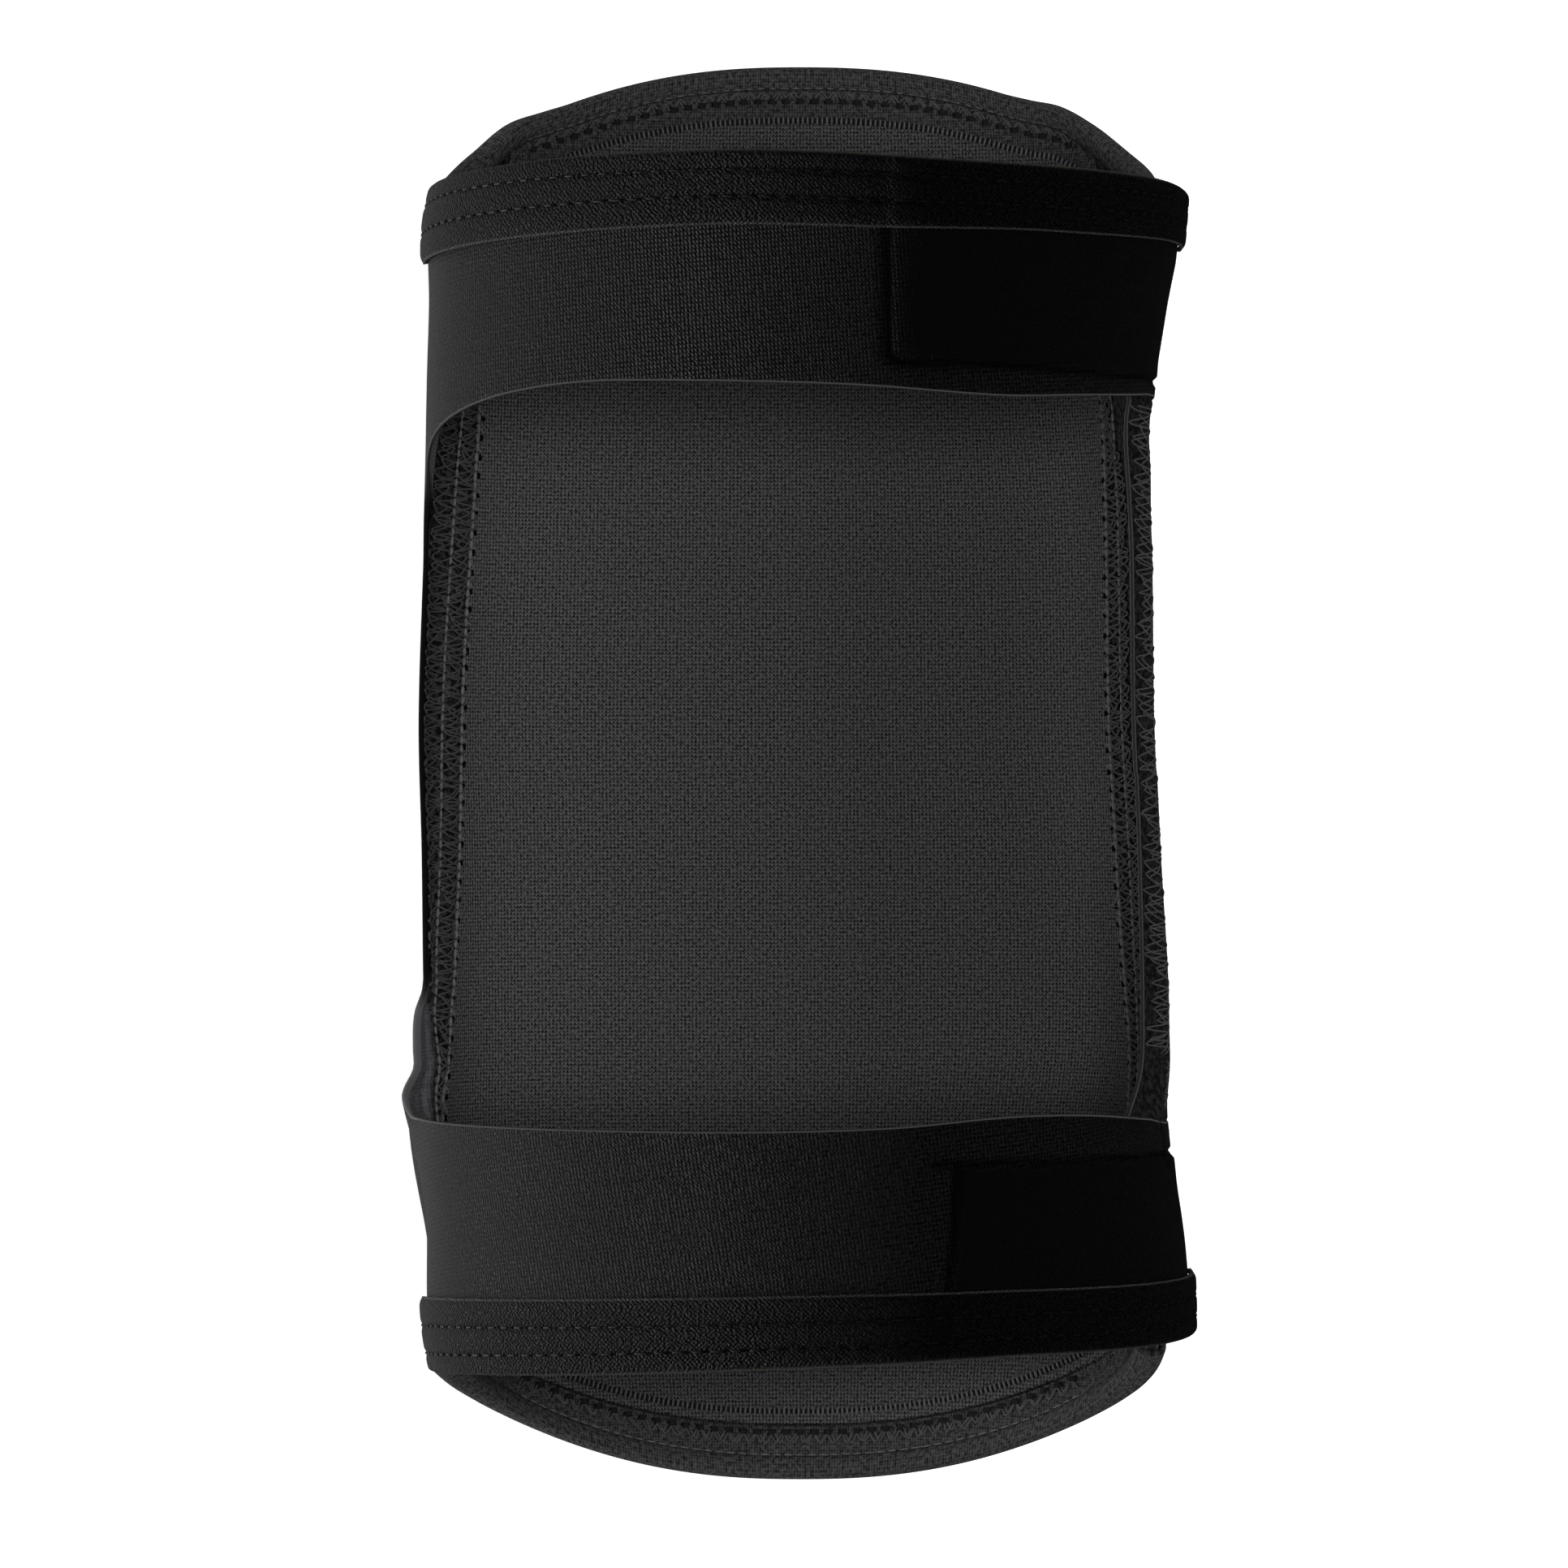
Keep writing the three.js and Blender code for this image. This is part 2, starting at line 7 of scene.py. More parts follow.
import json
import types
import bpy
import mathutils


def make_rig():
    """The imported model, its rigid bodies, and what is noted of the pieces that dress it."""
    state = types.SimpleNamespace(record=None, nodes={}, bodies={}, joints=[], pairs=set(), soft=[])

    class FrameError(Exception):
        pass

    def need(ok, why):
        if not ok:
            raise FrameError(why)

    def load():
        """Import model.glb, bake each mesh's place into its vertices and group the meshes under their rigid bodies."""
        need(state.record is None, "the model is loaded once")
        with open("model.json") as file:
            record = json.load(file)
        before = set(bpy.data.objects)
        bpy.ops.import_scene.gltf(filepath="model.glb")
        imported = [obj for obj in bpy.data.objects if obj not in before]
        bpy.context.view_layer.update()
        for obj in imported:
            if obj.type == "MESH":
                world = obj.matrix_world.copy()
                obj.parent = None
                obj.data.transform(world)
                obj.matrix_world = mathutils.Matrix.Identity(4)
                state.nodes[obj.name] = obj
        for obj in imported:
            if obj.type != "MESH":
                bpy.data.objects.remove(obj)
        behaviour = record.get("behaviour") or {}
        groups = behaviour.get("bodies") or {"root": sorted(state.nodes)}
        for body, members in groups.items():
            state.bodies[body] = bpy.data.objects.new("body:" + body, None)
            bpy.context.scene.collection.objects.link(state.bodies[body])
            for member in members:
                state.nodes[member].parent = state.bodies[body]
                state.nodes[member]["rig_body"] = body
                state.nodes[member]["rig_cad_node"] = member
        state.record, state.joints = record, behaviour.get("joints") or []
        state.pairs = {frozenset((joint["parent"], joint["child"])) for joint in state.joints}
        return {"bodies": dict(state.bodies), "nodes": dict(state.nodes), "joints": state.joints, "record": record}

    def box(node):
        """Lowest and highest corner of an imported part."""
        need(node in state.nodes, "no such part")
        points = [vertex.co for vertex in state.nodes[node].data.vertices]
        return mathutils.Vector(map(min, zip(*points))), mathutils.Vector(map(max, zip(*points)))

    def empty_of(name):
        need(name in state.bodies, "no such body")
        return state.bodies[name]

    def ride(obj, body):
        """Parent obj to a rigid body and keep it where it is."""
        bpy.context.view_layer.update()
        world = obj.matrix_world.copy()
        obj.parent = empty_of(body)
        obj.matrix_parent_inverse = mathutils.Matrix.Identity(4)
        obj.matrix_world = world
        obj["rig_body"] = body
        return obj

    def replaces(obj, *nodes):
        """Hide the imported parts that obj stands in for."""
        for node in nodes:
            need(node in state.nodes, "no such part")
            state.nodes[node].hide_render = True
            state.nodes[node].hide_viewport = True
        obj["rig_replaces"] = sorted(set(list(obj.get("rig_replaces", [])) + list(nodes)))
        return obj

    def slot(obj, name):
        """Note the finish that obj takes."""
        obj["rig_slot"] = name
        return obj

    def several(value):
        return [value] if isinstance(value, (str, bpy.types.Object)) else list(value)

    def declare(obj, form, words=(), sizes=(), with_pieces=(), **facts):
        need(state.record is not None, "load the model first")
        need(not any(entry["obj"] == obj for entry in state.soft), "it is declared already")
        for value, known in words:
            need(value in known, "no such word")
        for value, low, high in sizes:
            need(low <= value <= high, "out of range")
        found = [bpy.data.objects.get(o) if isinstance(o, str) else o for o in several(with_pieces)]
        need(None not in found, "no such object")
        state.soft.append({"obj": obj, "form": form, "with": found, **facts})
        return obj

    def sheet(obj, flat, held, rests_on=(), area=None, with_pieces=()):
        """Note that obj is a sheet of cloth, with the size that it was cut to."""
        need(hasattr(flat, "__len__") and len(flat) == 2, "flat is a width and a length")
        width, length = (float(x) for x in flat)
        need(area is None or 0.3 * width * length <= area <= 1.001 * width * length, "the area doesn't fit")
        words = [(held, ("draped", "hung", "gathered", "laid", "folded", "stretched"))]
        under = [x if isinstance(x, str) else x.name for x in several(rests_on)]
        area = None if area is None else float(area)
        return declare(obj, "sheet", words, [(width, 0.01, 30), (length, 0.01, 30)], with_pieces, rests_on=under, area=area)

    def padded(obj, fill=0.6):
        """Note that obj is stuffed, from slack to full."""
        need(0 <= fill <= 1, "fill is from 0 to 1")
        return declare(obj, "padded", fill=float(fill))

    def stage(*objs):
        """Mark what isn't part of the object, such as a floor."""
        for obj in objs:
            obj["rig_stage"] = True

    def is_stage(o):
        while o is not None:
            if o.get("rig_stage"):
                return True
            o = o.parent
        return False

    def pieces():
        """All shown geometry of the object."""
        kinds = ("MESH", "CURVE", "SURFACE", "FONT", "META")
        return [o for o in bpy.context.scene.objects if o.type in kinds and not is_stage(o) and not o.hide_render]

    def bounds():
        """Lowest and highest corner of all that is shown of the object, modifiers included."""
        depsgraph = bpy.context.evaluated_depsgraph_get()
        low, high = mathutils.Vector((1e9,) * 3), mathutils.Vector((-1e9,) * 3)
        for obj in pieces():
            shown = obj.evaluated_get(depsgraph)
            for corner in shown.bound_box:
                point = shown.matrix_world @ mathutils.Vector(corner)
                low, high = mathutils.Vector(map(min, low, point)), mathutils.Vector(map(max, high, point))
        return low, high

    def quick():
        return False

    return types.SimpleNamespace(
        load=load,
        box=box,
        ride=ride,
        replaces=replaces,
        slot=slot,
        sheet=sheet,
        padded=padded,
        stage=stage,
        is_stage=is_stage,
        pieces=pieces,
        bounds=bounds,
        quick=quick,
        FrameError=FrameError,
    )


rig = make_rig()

bl_info = {
    "name": "Soft Knee Pad",
    "version": (1, 0, 0),
    "blender": (4, 5, 0),
    "location": "3D View > Sidebar > Knee Pad",
    "description": "Builds a padded knee pad with its straps, bindings and seams in a plain studio",
    "category": "Add Mesh",
}

import json
import math

import bmesh
import bpy
import numpy as np
from mathutils import kdtree

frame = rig.load()
CAD_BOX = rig.bounds()
BODY = "root"
MM = 0.001

# Places on an edge that depend on one another are worked out in rounds
SETTLE_ROUNDS = 8

# Driving sizes of the pad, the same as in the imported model
PAD_LENGTH = 245.6
PAD_THICKNESS = 23.0
HALF_GIRTH = 184.0
WIDEST_HEIGHT = 60.0
BACK_HEIGHT = 112.0
SEAM_GIRTH = 61.0
END_DROP = 13.2
END_POWER = 2.4
BACK_SQUARENESS = 2.4
CLOTH = 2.5
LINING = 1.8
TAPE = 1.0
HOOK_TAPE = 1.2
GAP = 0.3
LAYER_GAP = 0.4

# The hollow for the leg: y, left and right half widths, front height and squareness of the front
SECTIONS = (
    (-126, 56.0, 57.0, 33.5, 2.8),
    (-108, 58.8, 58.6, 30.2, 2.8),
    (-94, 61.4, 59.5, 27.6, 3.3),
    (-77, 61.7, 58.8, 25.2, 3.6),
    (-62, 62.6, 58.2, 23.6, 3.6),
    (-48, 62.4, 60.4, 22.6, 3.6),
    (-15, 62.5, 60.0, 22.0, 3.6),
    (10, 63.0, 58.6, 22.0, 3.6),
    (46, 61.9, 57.6, 22.5, 3.6),
    (66, 61.7, 55.6, 24.0, 3.6),
    (80, 61.3, 56.2, 25.6, 3.6),
    (94, 61.2, 57.8, 27.6, 3.3),
    (108, 57.8, 58.4, 30.2, 2.7),
    (126, 55.5, 57.0, 33.5, 2.7),
)
LEFT_REACH, RIGHT_REACH, FRONT, SQUARE = 1, 2, 3, 4
LOOP_POINTS = 721

# The seams between pad and wings: y, and the girths to the left and to the right
SEAMS = (
    (-110, 70.0, 67.5),
    (-61, 73.2, 69.6),
    (-49, 70.7, 66.0),
    (-28, 67.4, 62.5),
    (0, 64.6, 61.2),
    (27, 63.4, 61.2),
    (50, 61.8, 61.9),
    (62, 60.8, 63.6),
    (110, 59.2, 60.0),
)

# The straps: girth run to the left from the front, outer edge and inner edge
STRAPS = {
    "upper": ((90, 97.8, 64.5), (184, 101.2, 64.8), (285, 98.6, 63.0)),
    "lower": ((90, -100.8, -59.4), (184, -97.0, -59.2), (285, -96.6, -57.6)),
}
OUTER, INNER = 1, 2
END_SIGN = {"upper": 1, "lower": -1}
STRAP_END = 285.0
LEFT_RIM = 80.0
RIGHT_RIM = 109.0
LEFT_SWEEP = {"upper": (75.0, 30.0), "lower": (15.0, 21.0)}
RIGHT_SWEEP = {"upper": (6.0, 4.0), "lower": (22.0, 20.0)}
ARM_END = {"upper": 168.0, "lower": 155.0}
ARM_INSET_INNER = 4.5
ARM_INSET_OUTER = 1.2
ARM_INSET_RISE = 6
HOOK_INSET_INNER = 3.6
HOOK_INSET_OUTER = 6.0
HOOK_START = 2 * HALF_GIRTH - STRAP_END + 4.0
HOOK_END = {"upper": 170.0, "lower": 157.0}
LIFT_FROM, LIFT_TO = 118.0, 186.0
END_BINDING_LEG = 5.8
END_BINDING_REACH = 82.0
STRAP_BINDING_OUTER = 11.2
STRAP_BINDING_INNER = 4.0
STRAP_BINDING_START = -END_BINDING_REACH - 2 * GAP
LINING_INSET = 8.4
RECESS_EDGE = LINING_INSET - GAP
RECESS_STEP = 0.4
PAD_SIDE_EDGE = 4.2
PADDING_START = 7.0
PADDING_RISE_GIRTH = 30.0
PADDING_RISE_LEG = 46.0

# The kink where the lower strap leaves the left wing: y, and the share that the web stands out
KINK_WRAP, KINK_WIDTH = 86.0, 11.0
KINK = (
    (-80, 0.0),
    (-76, 0.05),
    (-70, 0.2),
    (-63.5, 0.48),
    (-58.5, 0.85),
    (-56.0, 1.0),
    (-54.3, 0.88),
    (-51.2, 0.5),
    (-47.8, 0.6),
    (-43.6, 0.67),
    (-41.0, 0.55),
    (-38.0, 0.12),
    (-36.0, 0.0),
)

# The left wing's soft wall is pushed out: how far by y, and its share from the seam to the rim
BELLY = (
    (-76, 0.0),
    (-62, 1.4),
    (-50, 2.0),
    (-38, 2.3),
    (-28, 2.7),
    (0, 3.1),
    (25, 3.0),
    (45, 2.9),
    (56, 2.0),
    (66, 0.0),
)
BELLY_ACROSS = ((0.0, 0.0), (0.28, 0.33), (0.56, 1.0), (1.0, 0.78))
BELLY_FADE = 17.0

# How the right side gives: outwards beside the window, inwards where the straps' inner edges bind
GIVE = (
    (-90, 0.0),
    (-80, -0.3),
    (-72, -1.0),
    (-66, -1.3),
    (-61, -1.9),
    (-58.2, -2.0),
    (-56.6, 0.9),
    (-52, 0.4),
    (-46, -0.2),
    (-38, -0.6),
    (-12, -0.6),
    (15, -0.2),
    (35, 0.0),
    (45, 0.0),
    (53, 0.4),
    (57.5, 1.1),
    (61.2, 1.7),
    (62.8, -1.5),
    (66, -1.6),
    (70, -1.5),
    (74, -1.1),
    (80, -0.6),
    (88, 0.0),
)

# How far the right wing's step lies under the straps, out of sight
WING_UNDER = 3.2

# The upper outline is a little squarer than a plain curve: girth and the change of y
UPPER_CORNERS = (
    (-285, -0.2),
    (-258, -0.5),
    (-241, -1.0),
    (-227, -1.3),
    (-209, -1.3),
    (-187, -0.5),
    (-170, 0.0),
    (-84, 0.0),
    (-80, -2.0),
    (-73, -2.0),
    (-66, -0.7),
    (-59, 1.2),
    (-52, 0.5),
    (-46, 0.0),
    (40, 0.0),
    (46, 0.5),
    (52, 1.5),
    (58, 1.0),
    (66, -0.3),
    (74, 0.0),
)

# The straps' right halves: run to the left, and the changes of y of the outer and inner edges
STRAP_RUNS = {
    "upper": (
        (150, 0.0, 0.0),
        (170, 0.0, -0.4),
        (194, 0.0, -1.0),
        (218, 0.0, -2.2),
        (233, 0.0, -1.5),
        (250, 0.0, -0.4),
        (262, 0.0, 0.5),
        (285, 0.0, 1.2),
    ),
    "lower": (
        (150, 0.0, 0.0),
        (180, 0.3, 0.0),
        (200, 0.7, 0.5),
        (218, 1.5, 2.0),
        (233, 1.7, 2.1),
        (248, 1.8, 0.9),
        (262, 1.9, -0.8),
        (285, 1.9, -2.0),
    ),
}

# The straps' tapes are sewn on narrower towards the right: run to the left and the share of width
TAPE_SHARE = {
    "upper": ((150, 1.0), (194, 0.985), (219, 0.875), (234, 0.835), (268, 0.72), (285, 0.68)),
    "lower": ((150, 1.0), (194, 0.946), (222, 0.857), (258, 0.795), (285, 0.78)),
}

# Cut edges are pressed thin: their thickness, and how far in from the edge that begins
EDGE_THICKNESS, EDGE_TAPER = 0.7, 7.0

# Where the hook tapes' sewing draws the straps in: corners as run to the left and y
HOOK_GROOVES = {
    "upper": (
        (
            (198.4, 97.0),
            (198.6, 69.4),
            (199.2, 67.9),
            (200.8, 67.3),
            (240.0, 66.4),
            (285.0, 67.0),
        ),
    ),
    "lower": (
        ((205.8, -64.6), (240.0, -64.4), (286.0, -65.2)),
        ((209.8, -64.9), (209.0, -78.0), (207.8, -92.0)),
    ),
}
STRAP_CREASE = ((259.5, -57.0), (261.6, -61.0), (262.4, -66.5))
SEWN_LINES = [line for lines in HOOK_GROOVES.values() for line in lines]
# Widths of the grooves, of the shade painted black down in them, and of the crease
GROOVE_WIDTH, GROOVE_SHADE_WIDTH, CREASE_WIDTH = 0.6, 0.55, 0.8

# A hook tape lifts the strap and the binding over it: where, how softly it starts, and how far
HOOK_SIDE = {"upper": 198.6, "lower": 209.0}
HOOK_FOOT = {"upper": 66.8, "lower": -65.0}
HOOK_EDGE, HOOK_LIFT = (-0.4, 1.2), 0.35
BINDING_EDGE, BINDING_LIFT = (-0.5, 1.3), 0.3

# Where the right side gives and fills out, as starts and stops of girth or of y
GIVE_RISE, GIVE_FALL = (66, 84), (150, 112)
FULL_LOWER, FULL_LOWER_RISE = 0.9, (-8, -42)
FULL_UPPER, FULL_UPPER_RISE = 0.5, (42, 54)
FULL_END = (66, 62)

# Where the left wing's wall is pushed out, it is thin, its edge isn't cut and threads cover its rim
WALL_THINNING, WALL_BELLY = 0.8, 3.0
COVERED_BELLY, COVERED_RISE = 1.5, (-42, -34)
FREE_BELLY = 1.6
FREE_FROM_SEAM, FREE_FROM_END = (3, 7), (4, 10)
KINK_TURN = 2.5

# The way that the jersey's courses run: degrees below and above, and y of the change
GRAIN_TURN, GRAIN_CHANGE = (-8.0, -4.0), (-40, 40)

# The foam under its cover: its share of the thickness before it swells, and the least of it
FOAM_SHARE, LEAST_FOAM = 0.92, 1.2
SWELL_FRAMES = 20
BORDER_DEPTH = 9.6

# How the ends' zigzag draws the border in: small dents in a shallow trough
DENT_DEPTH, DENT_WIDTH = 0.85, 0.7
TROUGH_DEPTH, TROUGH_WIDTH, TROUGH_SHIFT = 0.3, 1.5, 0.4

# How the seams' stitches pull the lining down, and how it lies slack between them
PULL_DEPTH, PULL_REACH = 0.35, 2.2
SLACK_DEPTH, SLACK_REACH = 0.12, 12
SLACK_WAVE_GIRTH, SLACK_WAVE_LEG = 19, 23
LINING_EDGE, LINING_EDGE_ROUND = 13, 0.3
HOOK_TAPE_ROUND = 0.2

# The tapes' sections: steps along both legs, points round the fold, how the edges settle on the
# cloth and grow thin, how the stitch rows draw them in, and where the straps' tapes are worn
TAPE_STEPS, FOLD_POINTS = (0.3, 0.4), 15
TAPE_SETTLE, TAPE_SETTLE_REACH = 0.32, 1.6
TAPE_RIM, TAPE_BODY, TAPE_RIM_REACH = 0.55, 0.9, 0.9
ROW_DRAW, ROW_WIDTH = 0.3, 0.6
WORN_PAST_LEG = 1.7
END_BINDING_EASE = 1.02

# Rows of stitches: girths past a seam, and insets from an outer edge
FLATLOCK_LINES = {-1: (0.5, 5.5, 13.0), 1: (0.5, 5.5, 10.8)}
FLATLOCK_FOOT = -38.0
STRAP_ROWS = (2.2, 6.6)
END_TAPE_LEG = 2.4
END_ROW = {"upper": 2.1, "lower": 2.7}
END_ZIGZAG = {"upper": (2.9, 4.4), "lower": (4.8, 6.6)}
END_DENTS = {"upper": 4.4, "lower": 6.7}
SERGE_INSET = {"upper": 7.8, "lower": 10.3}
SEAM_END_INSET = 8.6
END_SEWING_REACH = 56
GROOVE_SEWING_INSET = 12.5
OVERLOCK_SPAN, OVERLOCK_BAND = (-58, 62), (1.8, 8.4)

# Where a flatlock seam folds in beside a strap: y from and to, and its shares of width there
SEAM_FOLD = {-1: (-62, -32, 0.3, 1.0), 1: (48, 64, 1.0, 0.35)}

# Cloth under a mat of threads past the seams, with painted shade between them, and along the
# right rim; and painted shade on the right wing's inside under the upper strap
SHADE_MARGIN, SHADE_FADE = 1.0, (-1, 0.6)
SHADE_FOOT = (FLATLOCK_FOOT - 3, FLATLOCK_FOOT + 1)
SHADE_UNDER_RISE, SHADE_UNDER_FALL = (46, 56), (76, 68)
OVERLOCK_FADE, OVERLOCK_ENDS = (9.6, 8.2), (22, 24)

# One tick of thread over a seam and a dark shape of painted shade in the dip behind it: girths past
# the seam and places along it
TICK_REACH, TICK_ALONG = (0.6, -0.3, -1.0), (0.3, 0.0, -0.2)
DIP_SHADE_REACH, DIP_SHADE_ALONG = (-1.1, -0.6), (-0.5, -0.9, -1.4)

# Sewing threads: their shares of the thread's colour, and gloss. Shares below one are partly
# painted shade, for deep ones look darker, and the darkest make the dark shapes of painted shade
# in the dents behind the seams' ticks, in the ends' dents, in needle holes and under the serging.
THREADS = {
    "polyester seam thread": (1.0, 0.12),
    "polyester zigzag thread": (0.6, 0.12),
    "polyester looper thread": (0.46, 0.12),
    "painted stitch shade": (0.12, 0.02),
    "dark polyester thread": (0.03, 0.4),
    "black thread and painted shade": (0.02, 0.02),
}

# The photograph's camera: square picture, straight down on the straps
SENSOR = 36.0
LENS = 165.34
CAMERA_PLACE = (-2.45, -1.96, 1300.0)

# Soft square lights: place and size in metres, and power in watts. The card lies on the floor.
LIGHTS = {
    "low_left": ((-1.3, -0.2, 0.08), 0.6, 30.0),
    "left_card": ((-0.43, 0.0, 0.002), 0.7, 0.9),
    "overhead": ((0.08, 0.03, 1.4), 0.35, 10.8),
    "right": ((0.95, 0.0, 0.85), 0.5, 5.0),
}
DIFFUSE_LIGHTS = ("overhead", "right")
LIGHT_AIM = 0.05
FLOOR_HALF, FLOOR_DROP = 4.0, 0.4
SKY, SKY_STRENGTH = (0.9, 0.92, 0.95, 1), 0.03


def linear(hex_colour):
    """An sRGB hex colour as linear red, green and blue."""
    channels = [int(hex_colour[start:start + 2], 16) / 255 for start in (1, 3, 5)]
    return tuple(c / 12.92 if c <= 0.04045 else ((c + 0.055) / 1.055) ** 2.4 for c in channels)


def smooth_step(start, end, value):
    """A share that grows smoothly from 0 at a start to 1 at an end."""
    share = np.clip((np.asarray(value, float) - start) / (end - start), 0, 1)
    return share * share * (3 - 2 * share)


def mix(start, end, share):
    return start + (end - start) * share


def bell(value, width):
    return np.exp(-((np.asarray(value, float) / width) ** 2))


def soft_min(a, b, power=6.0):
    """The smaller of two values, with a rounded change from one to the other."""
    return (a**-power + b**-power) ** (-1 / power)


def read_table(rows, column, at):
    """A column of a table read smoothly between its rows, level past the first and the last."""
    table = np.asarray(rows, float)
    x = table[:, 0]
    value = table[:, column]
    last = len(x) - 1
    low = np.maximum(np.arange(len(x)) - 1, 0)
    high = np.minimum(np.arange(len(x)) + 1, last)
    slope = (value[high] - value[low]) / (x[high] - x[low])
    at = np.clip(np.asarray(at, float), x[0], x[-1])
    i = np.clip(np.searchsorted(x, at) - 1, 0, last - 1)
    span = x[i + 1] - x[i]
    t = (at - x[i]) / span
    level = mix(value[i], value[i + 1], t * t * (3 - 2 * t))
    return level + t * (1 - t) ** 2 * span * slope[i] + t * t * (t - 1) * span * slope[i + 1]


def read_grid(table, i, j):
    """A grid of vectors read at places between its nodes."""
    i = np.clip(i, 0, table.shape[0] - 1.001)
    j = np.clip(j, 0, table.shape[1] - 1.001)
    low_i = i.astype(int)
    low_j = j.astype(int)
    share_i = (i - low_i)[..., None]
    share_j = (j - low_j)[..., None]
    lower = mix(table[low_i, low_j], table[low_i + 1, low_j], share_i)
    upper = mix(table[low_i, low_j + 1], table[low_i + 1, low_j + 1], share_i)
    return mix(lower, upper, share_j)


def half_loops(y, side):
    """Halves of the hollow's outline, from the middle of the front to the middle of the back."""
    angle = np.linspace(0, math.pi, LOOP_POINTS)[None, :]
    reach = read_table(SECTIONS, LEFT_REACH if side < 0 else RIGHT_REACH, y)[:, None]
    front = read_table(SECTIONS, FRONT, y)[:, None]
    square = read_table(SECTIONS, SQUARE, y)[:, None]
    is_front = angle <= math.pi / 2
    rise = np.where(is_front, WIDEST_HEIGHT - front, BACK_HEIGHT - WIDEST_HEIGHT)
    power = np.where(is_front, square, BACK_SQUARENESS)
    across = (np.sin(angle) / reach) ** power
    upright = (np.abs(np.cos(angle)) / rise) ** power
    radius = (across + upright) ** (-1 / power)
    x = side * radius * np.sin(angle)
    z = WIDEST_HEIGHT - radius * np.cos(angle)
    steps = np.hypot(np.diff(x, axis=1), np.diff(z, axis=1))
    length = np.concatenate([np.zeros((len(y), 1)), np.cumsum(steps, axis=1)], axis=1)
    return x, z, length


class LegFace:
    """The face that touches the leg: points and outward directions by girth s and distance y."""

    STEP = 0.5
    FIRST_GIRTH = -300.0
    LEG_REACH = 140.0

    def __init__(self, shift):
        self.s = np.arange(self.FIRST_GIRTH, HALF_GIRTH + self.STEP, self.STEP)
        self.y = np.arange(-self.LEG_REACH, self.LEG_REACH + self.STEP, self.STEP)
        girth = np.where(self.s < -HALF_GIRTH, self.s + 2 * HALF_GIRTH, self.s)
        points = np.zeros((len(self.s), len(self.y), 3))
        points[:, :, 1] = self.y[None, :]
        for side in (-1, 1):
            x, z, length = half_loops(self.y, side)
            mine = (girth < 0) == (side < 0)
            share = np.abs(girth[mine]) / HALF_GIRTH
            for row in range(len(self.y)):
                target = share * length[row, -1]
                points[mine, row, 0] = np.interp(target, length[row], x[row])
                points[mine, row, 2] = np.interp(target, length[row], z[row])
        outwards = np.cross(np.gradient(points, axis=1), np.gradient(points, axis=0))
        self.outwards_table = outwards / np.linalg.norm(outwards, axis=2, keepdims=True)
        self.points_table = points + np.asarray(shift)

    def _read(self, table, s, y):
        s, y = np.broadcast_arrays(np.asarray(s, float), np.asarray(y, float))
        return read_grid(table, (s - self.s[0]) / self.STEP, (y - self.y[0]) / self.STEP)

    def outwards(self, s, y):
        return self._read(self.outwards_table, s, y)

    def at(self, s, y, depth):
        """Points in metres, with nothing below the surface that the pad lies on."""
        depth = np.asarray(depth, float)[..., None]
        points = self._read(self.points_table, s, y) + depth * self.outwards(s, y)
        points[..., 2] = np.maximum(points[..., 2], 0)
        return points * MM


def frame_shift():
    """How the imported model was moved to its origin: its lining peaks at the middle of the front."""
    low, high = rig.box("pad_lining")
    peak = max(frame["nodes"]["pad_lining"].data.vertices, key=lambda vertex: vertex.co.y)
    return peak.co.x / MM, (low.y + high.y) / 2 / MM, 0.0


FACE = LegFace(frame_shift())


# Edges and depths that the pieces share
def seam_girth(side, y):
    return read_table(SEAMS, 1 if side < 0 else 2, y)


def nearest_seam(s, y):
    """The girth of the seam on a place's own side."""
    return np.where(s < 0, seam_girth(-1, y), seam_girth(1, y))


def wrap_of(s):
    s = np.asarray(s, float)
    return np.where(s < 0, -s, 2 * HALF_GIRTH - s)


def strap_edge(end, column, s):
    return read_table(STRAPS[end], column, wrap_of(s))


def outer_edge(end, s):
    """The outer edge all round: the pad's round end, running into the outer edge of the strap."""
    s = np.asarray(s, float)
    peak = PAD_LENGTH / 2
    from_front = np.where(s < -HALF_GIRTH, HALF_GIRTH, np.abs(s))
    strap_drop = peak - np.abs(strap_edge(end, OUTER, s))
    round_drop = np.maximum(1e-6, END_DROP * (from_front / SEAM_GIRTH) ** END_POWER)
    edge = END_SIGN[end] * (peak - soft_min(round_drop, strap_drop))
    edge = edge + read_table(STRAP_RUNS[end], OUTER, -s)
    return edge + read_table(UPPER_CORNERS, 1, s) if end == "upper" else edge


def sweep(half_axes, from_rim):
    """How far a window's corner still is from its strap's inner edge."""
    girth, leg = half_axes
    left = 1 - np.clip(from_rim / girth, 0, 1)
    return leg * (1 - np.sqrt(1 - left * left))


def strap_inner_edge(end, s):
    edge = strap_edge(end, INNER, s) - END_SIGN[end] * sweep(LEFT_SWEEP[end], -s - LEFT_RIM)
    return edge + read_table(STRAP_RUNS[end], INNER, -s)


def arm_inner_edge(end, s):
    straight = strap_edge(end, INNER, s) + END_SIGN[end] * ARM_INSET_INNER
    return straight - END_SIGN[end] * sweep(RIGHT_SWEEP[end], s - RIGHT_RIM)


def arm_outer_edge(end, s):
    rise = smooth_step(END_BINDING_REACH, END_BINDING_REACH + ARM_INSET_RISE, s)
    return outer_edge(end, s) - END_SIGN[end] * (ARM_INSET_OUTER * rise)


def inset_from_end(s, y):
    return np.minimum(outer_edge("upper", s) - y, y - outer_edge("lower", s))


def kink(s, y):
    """How far the web stands out, as a share, where the lower strap leaves the left wing."""
    return bell(-np.asarray(s) - KINK_WRAP, KINK_WIDTH) * read_table(KINK, 1, y)


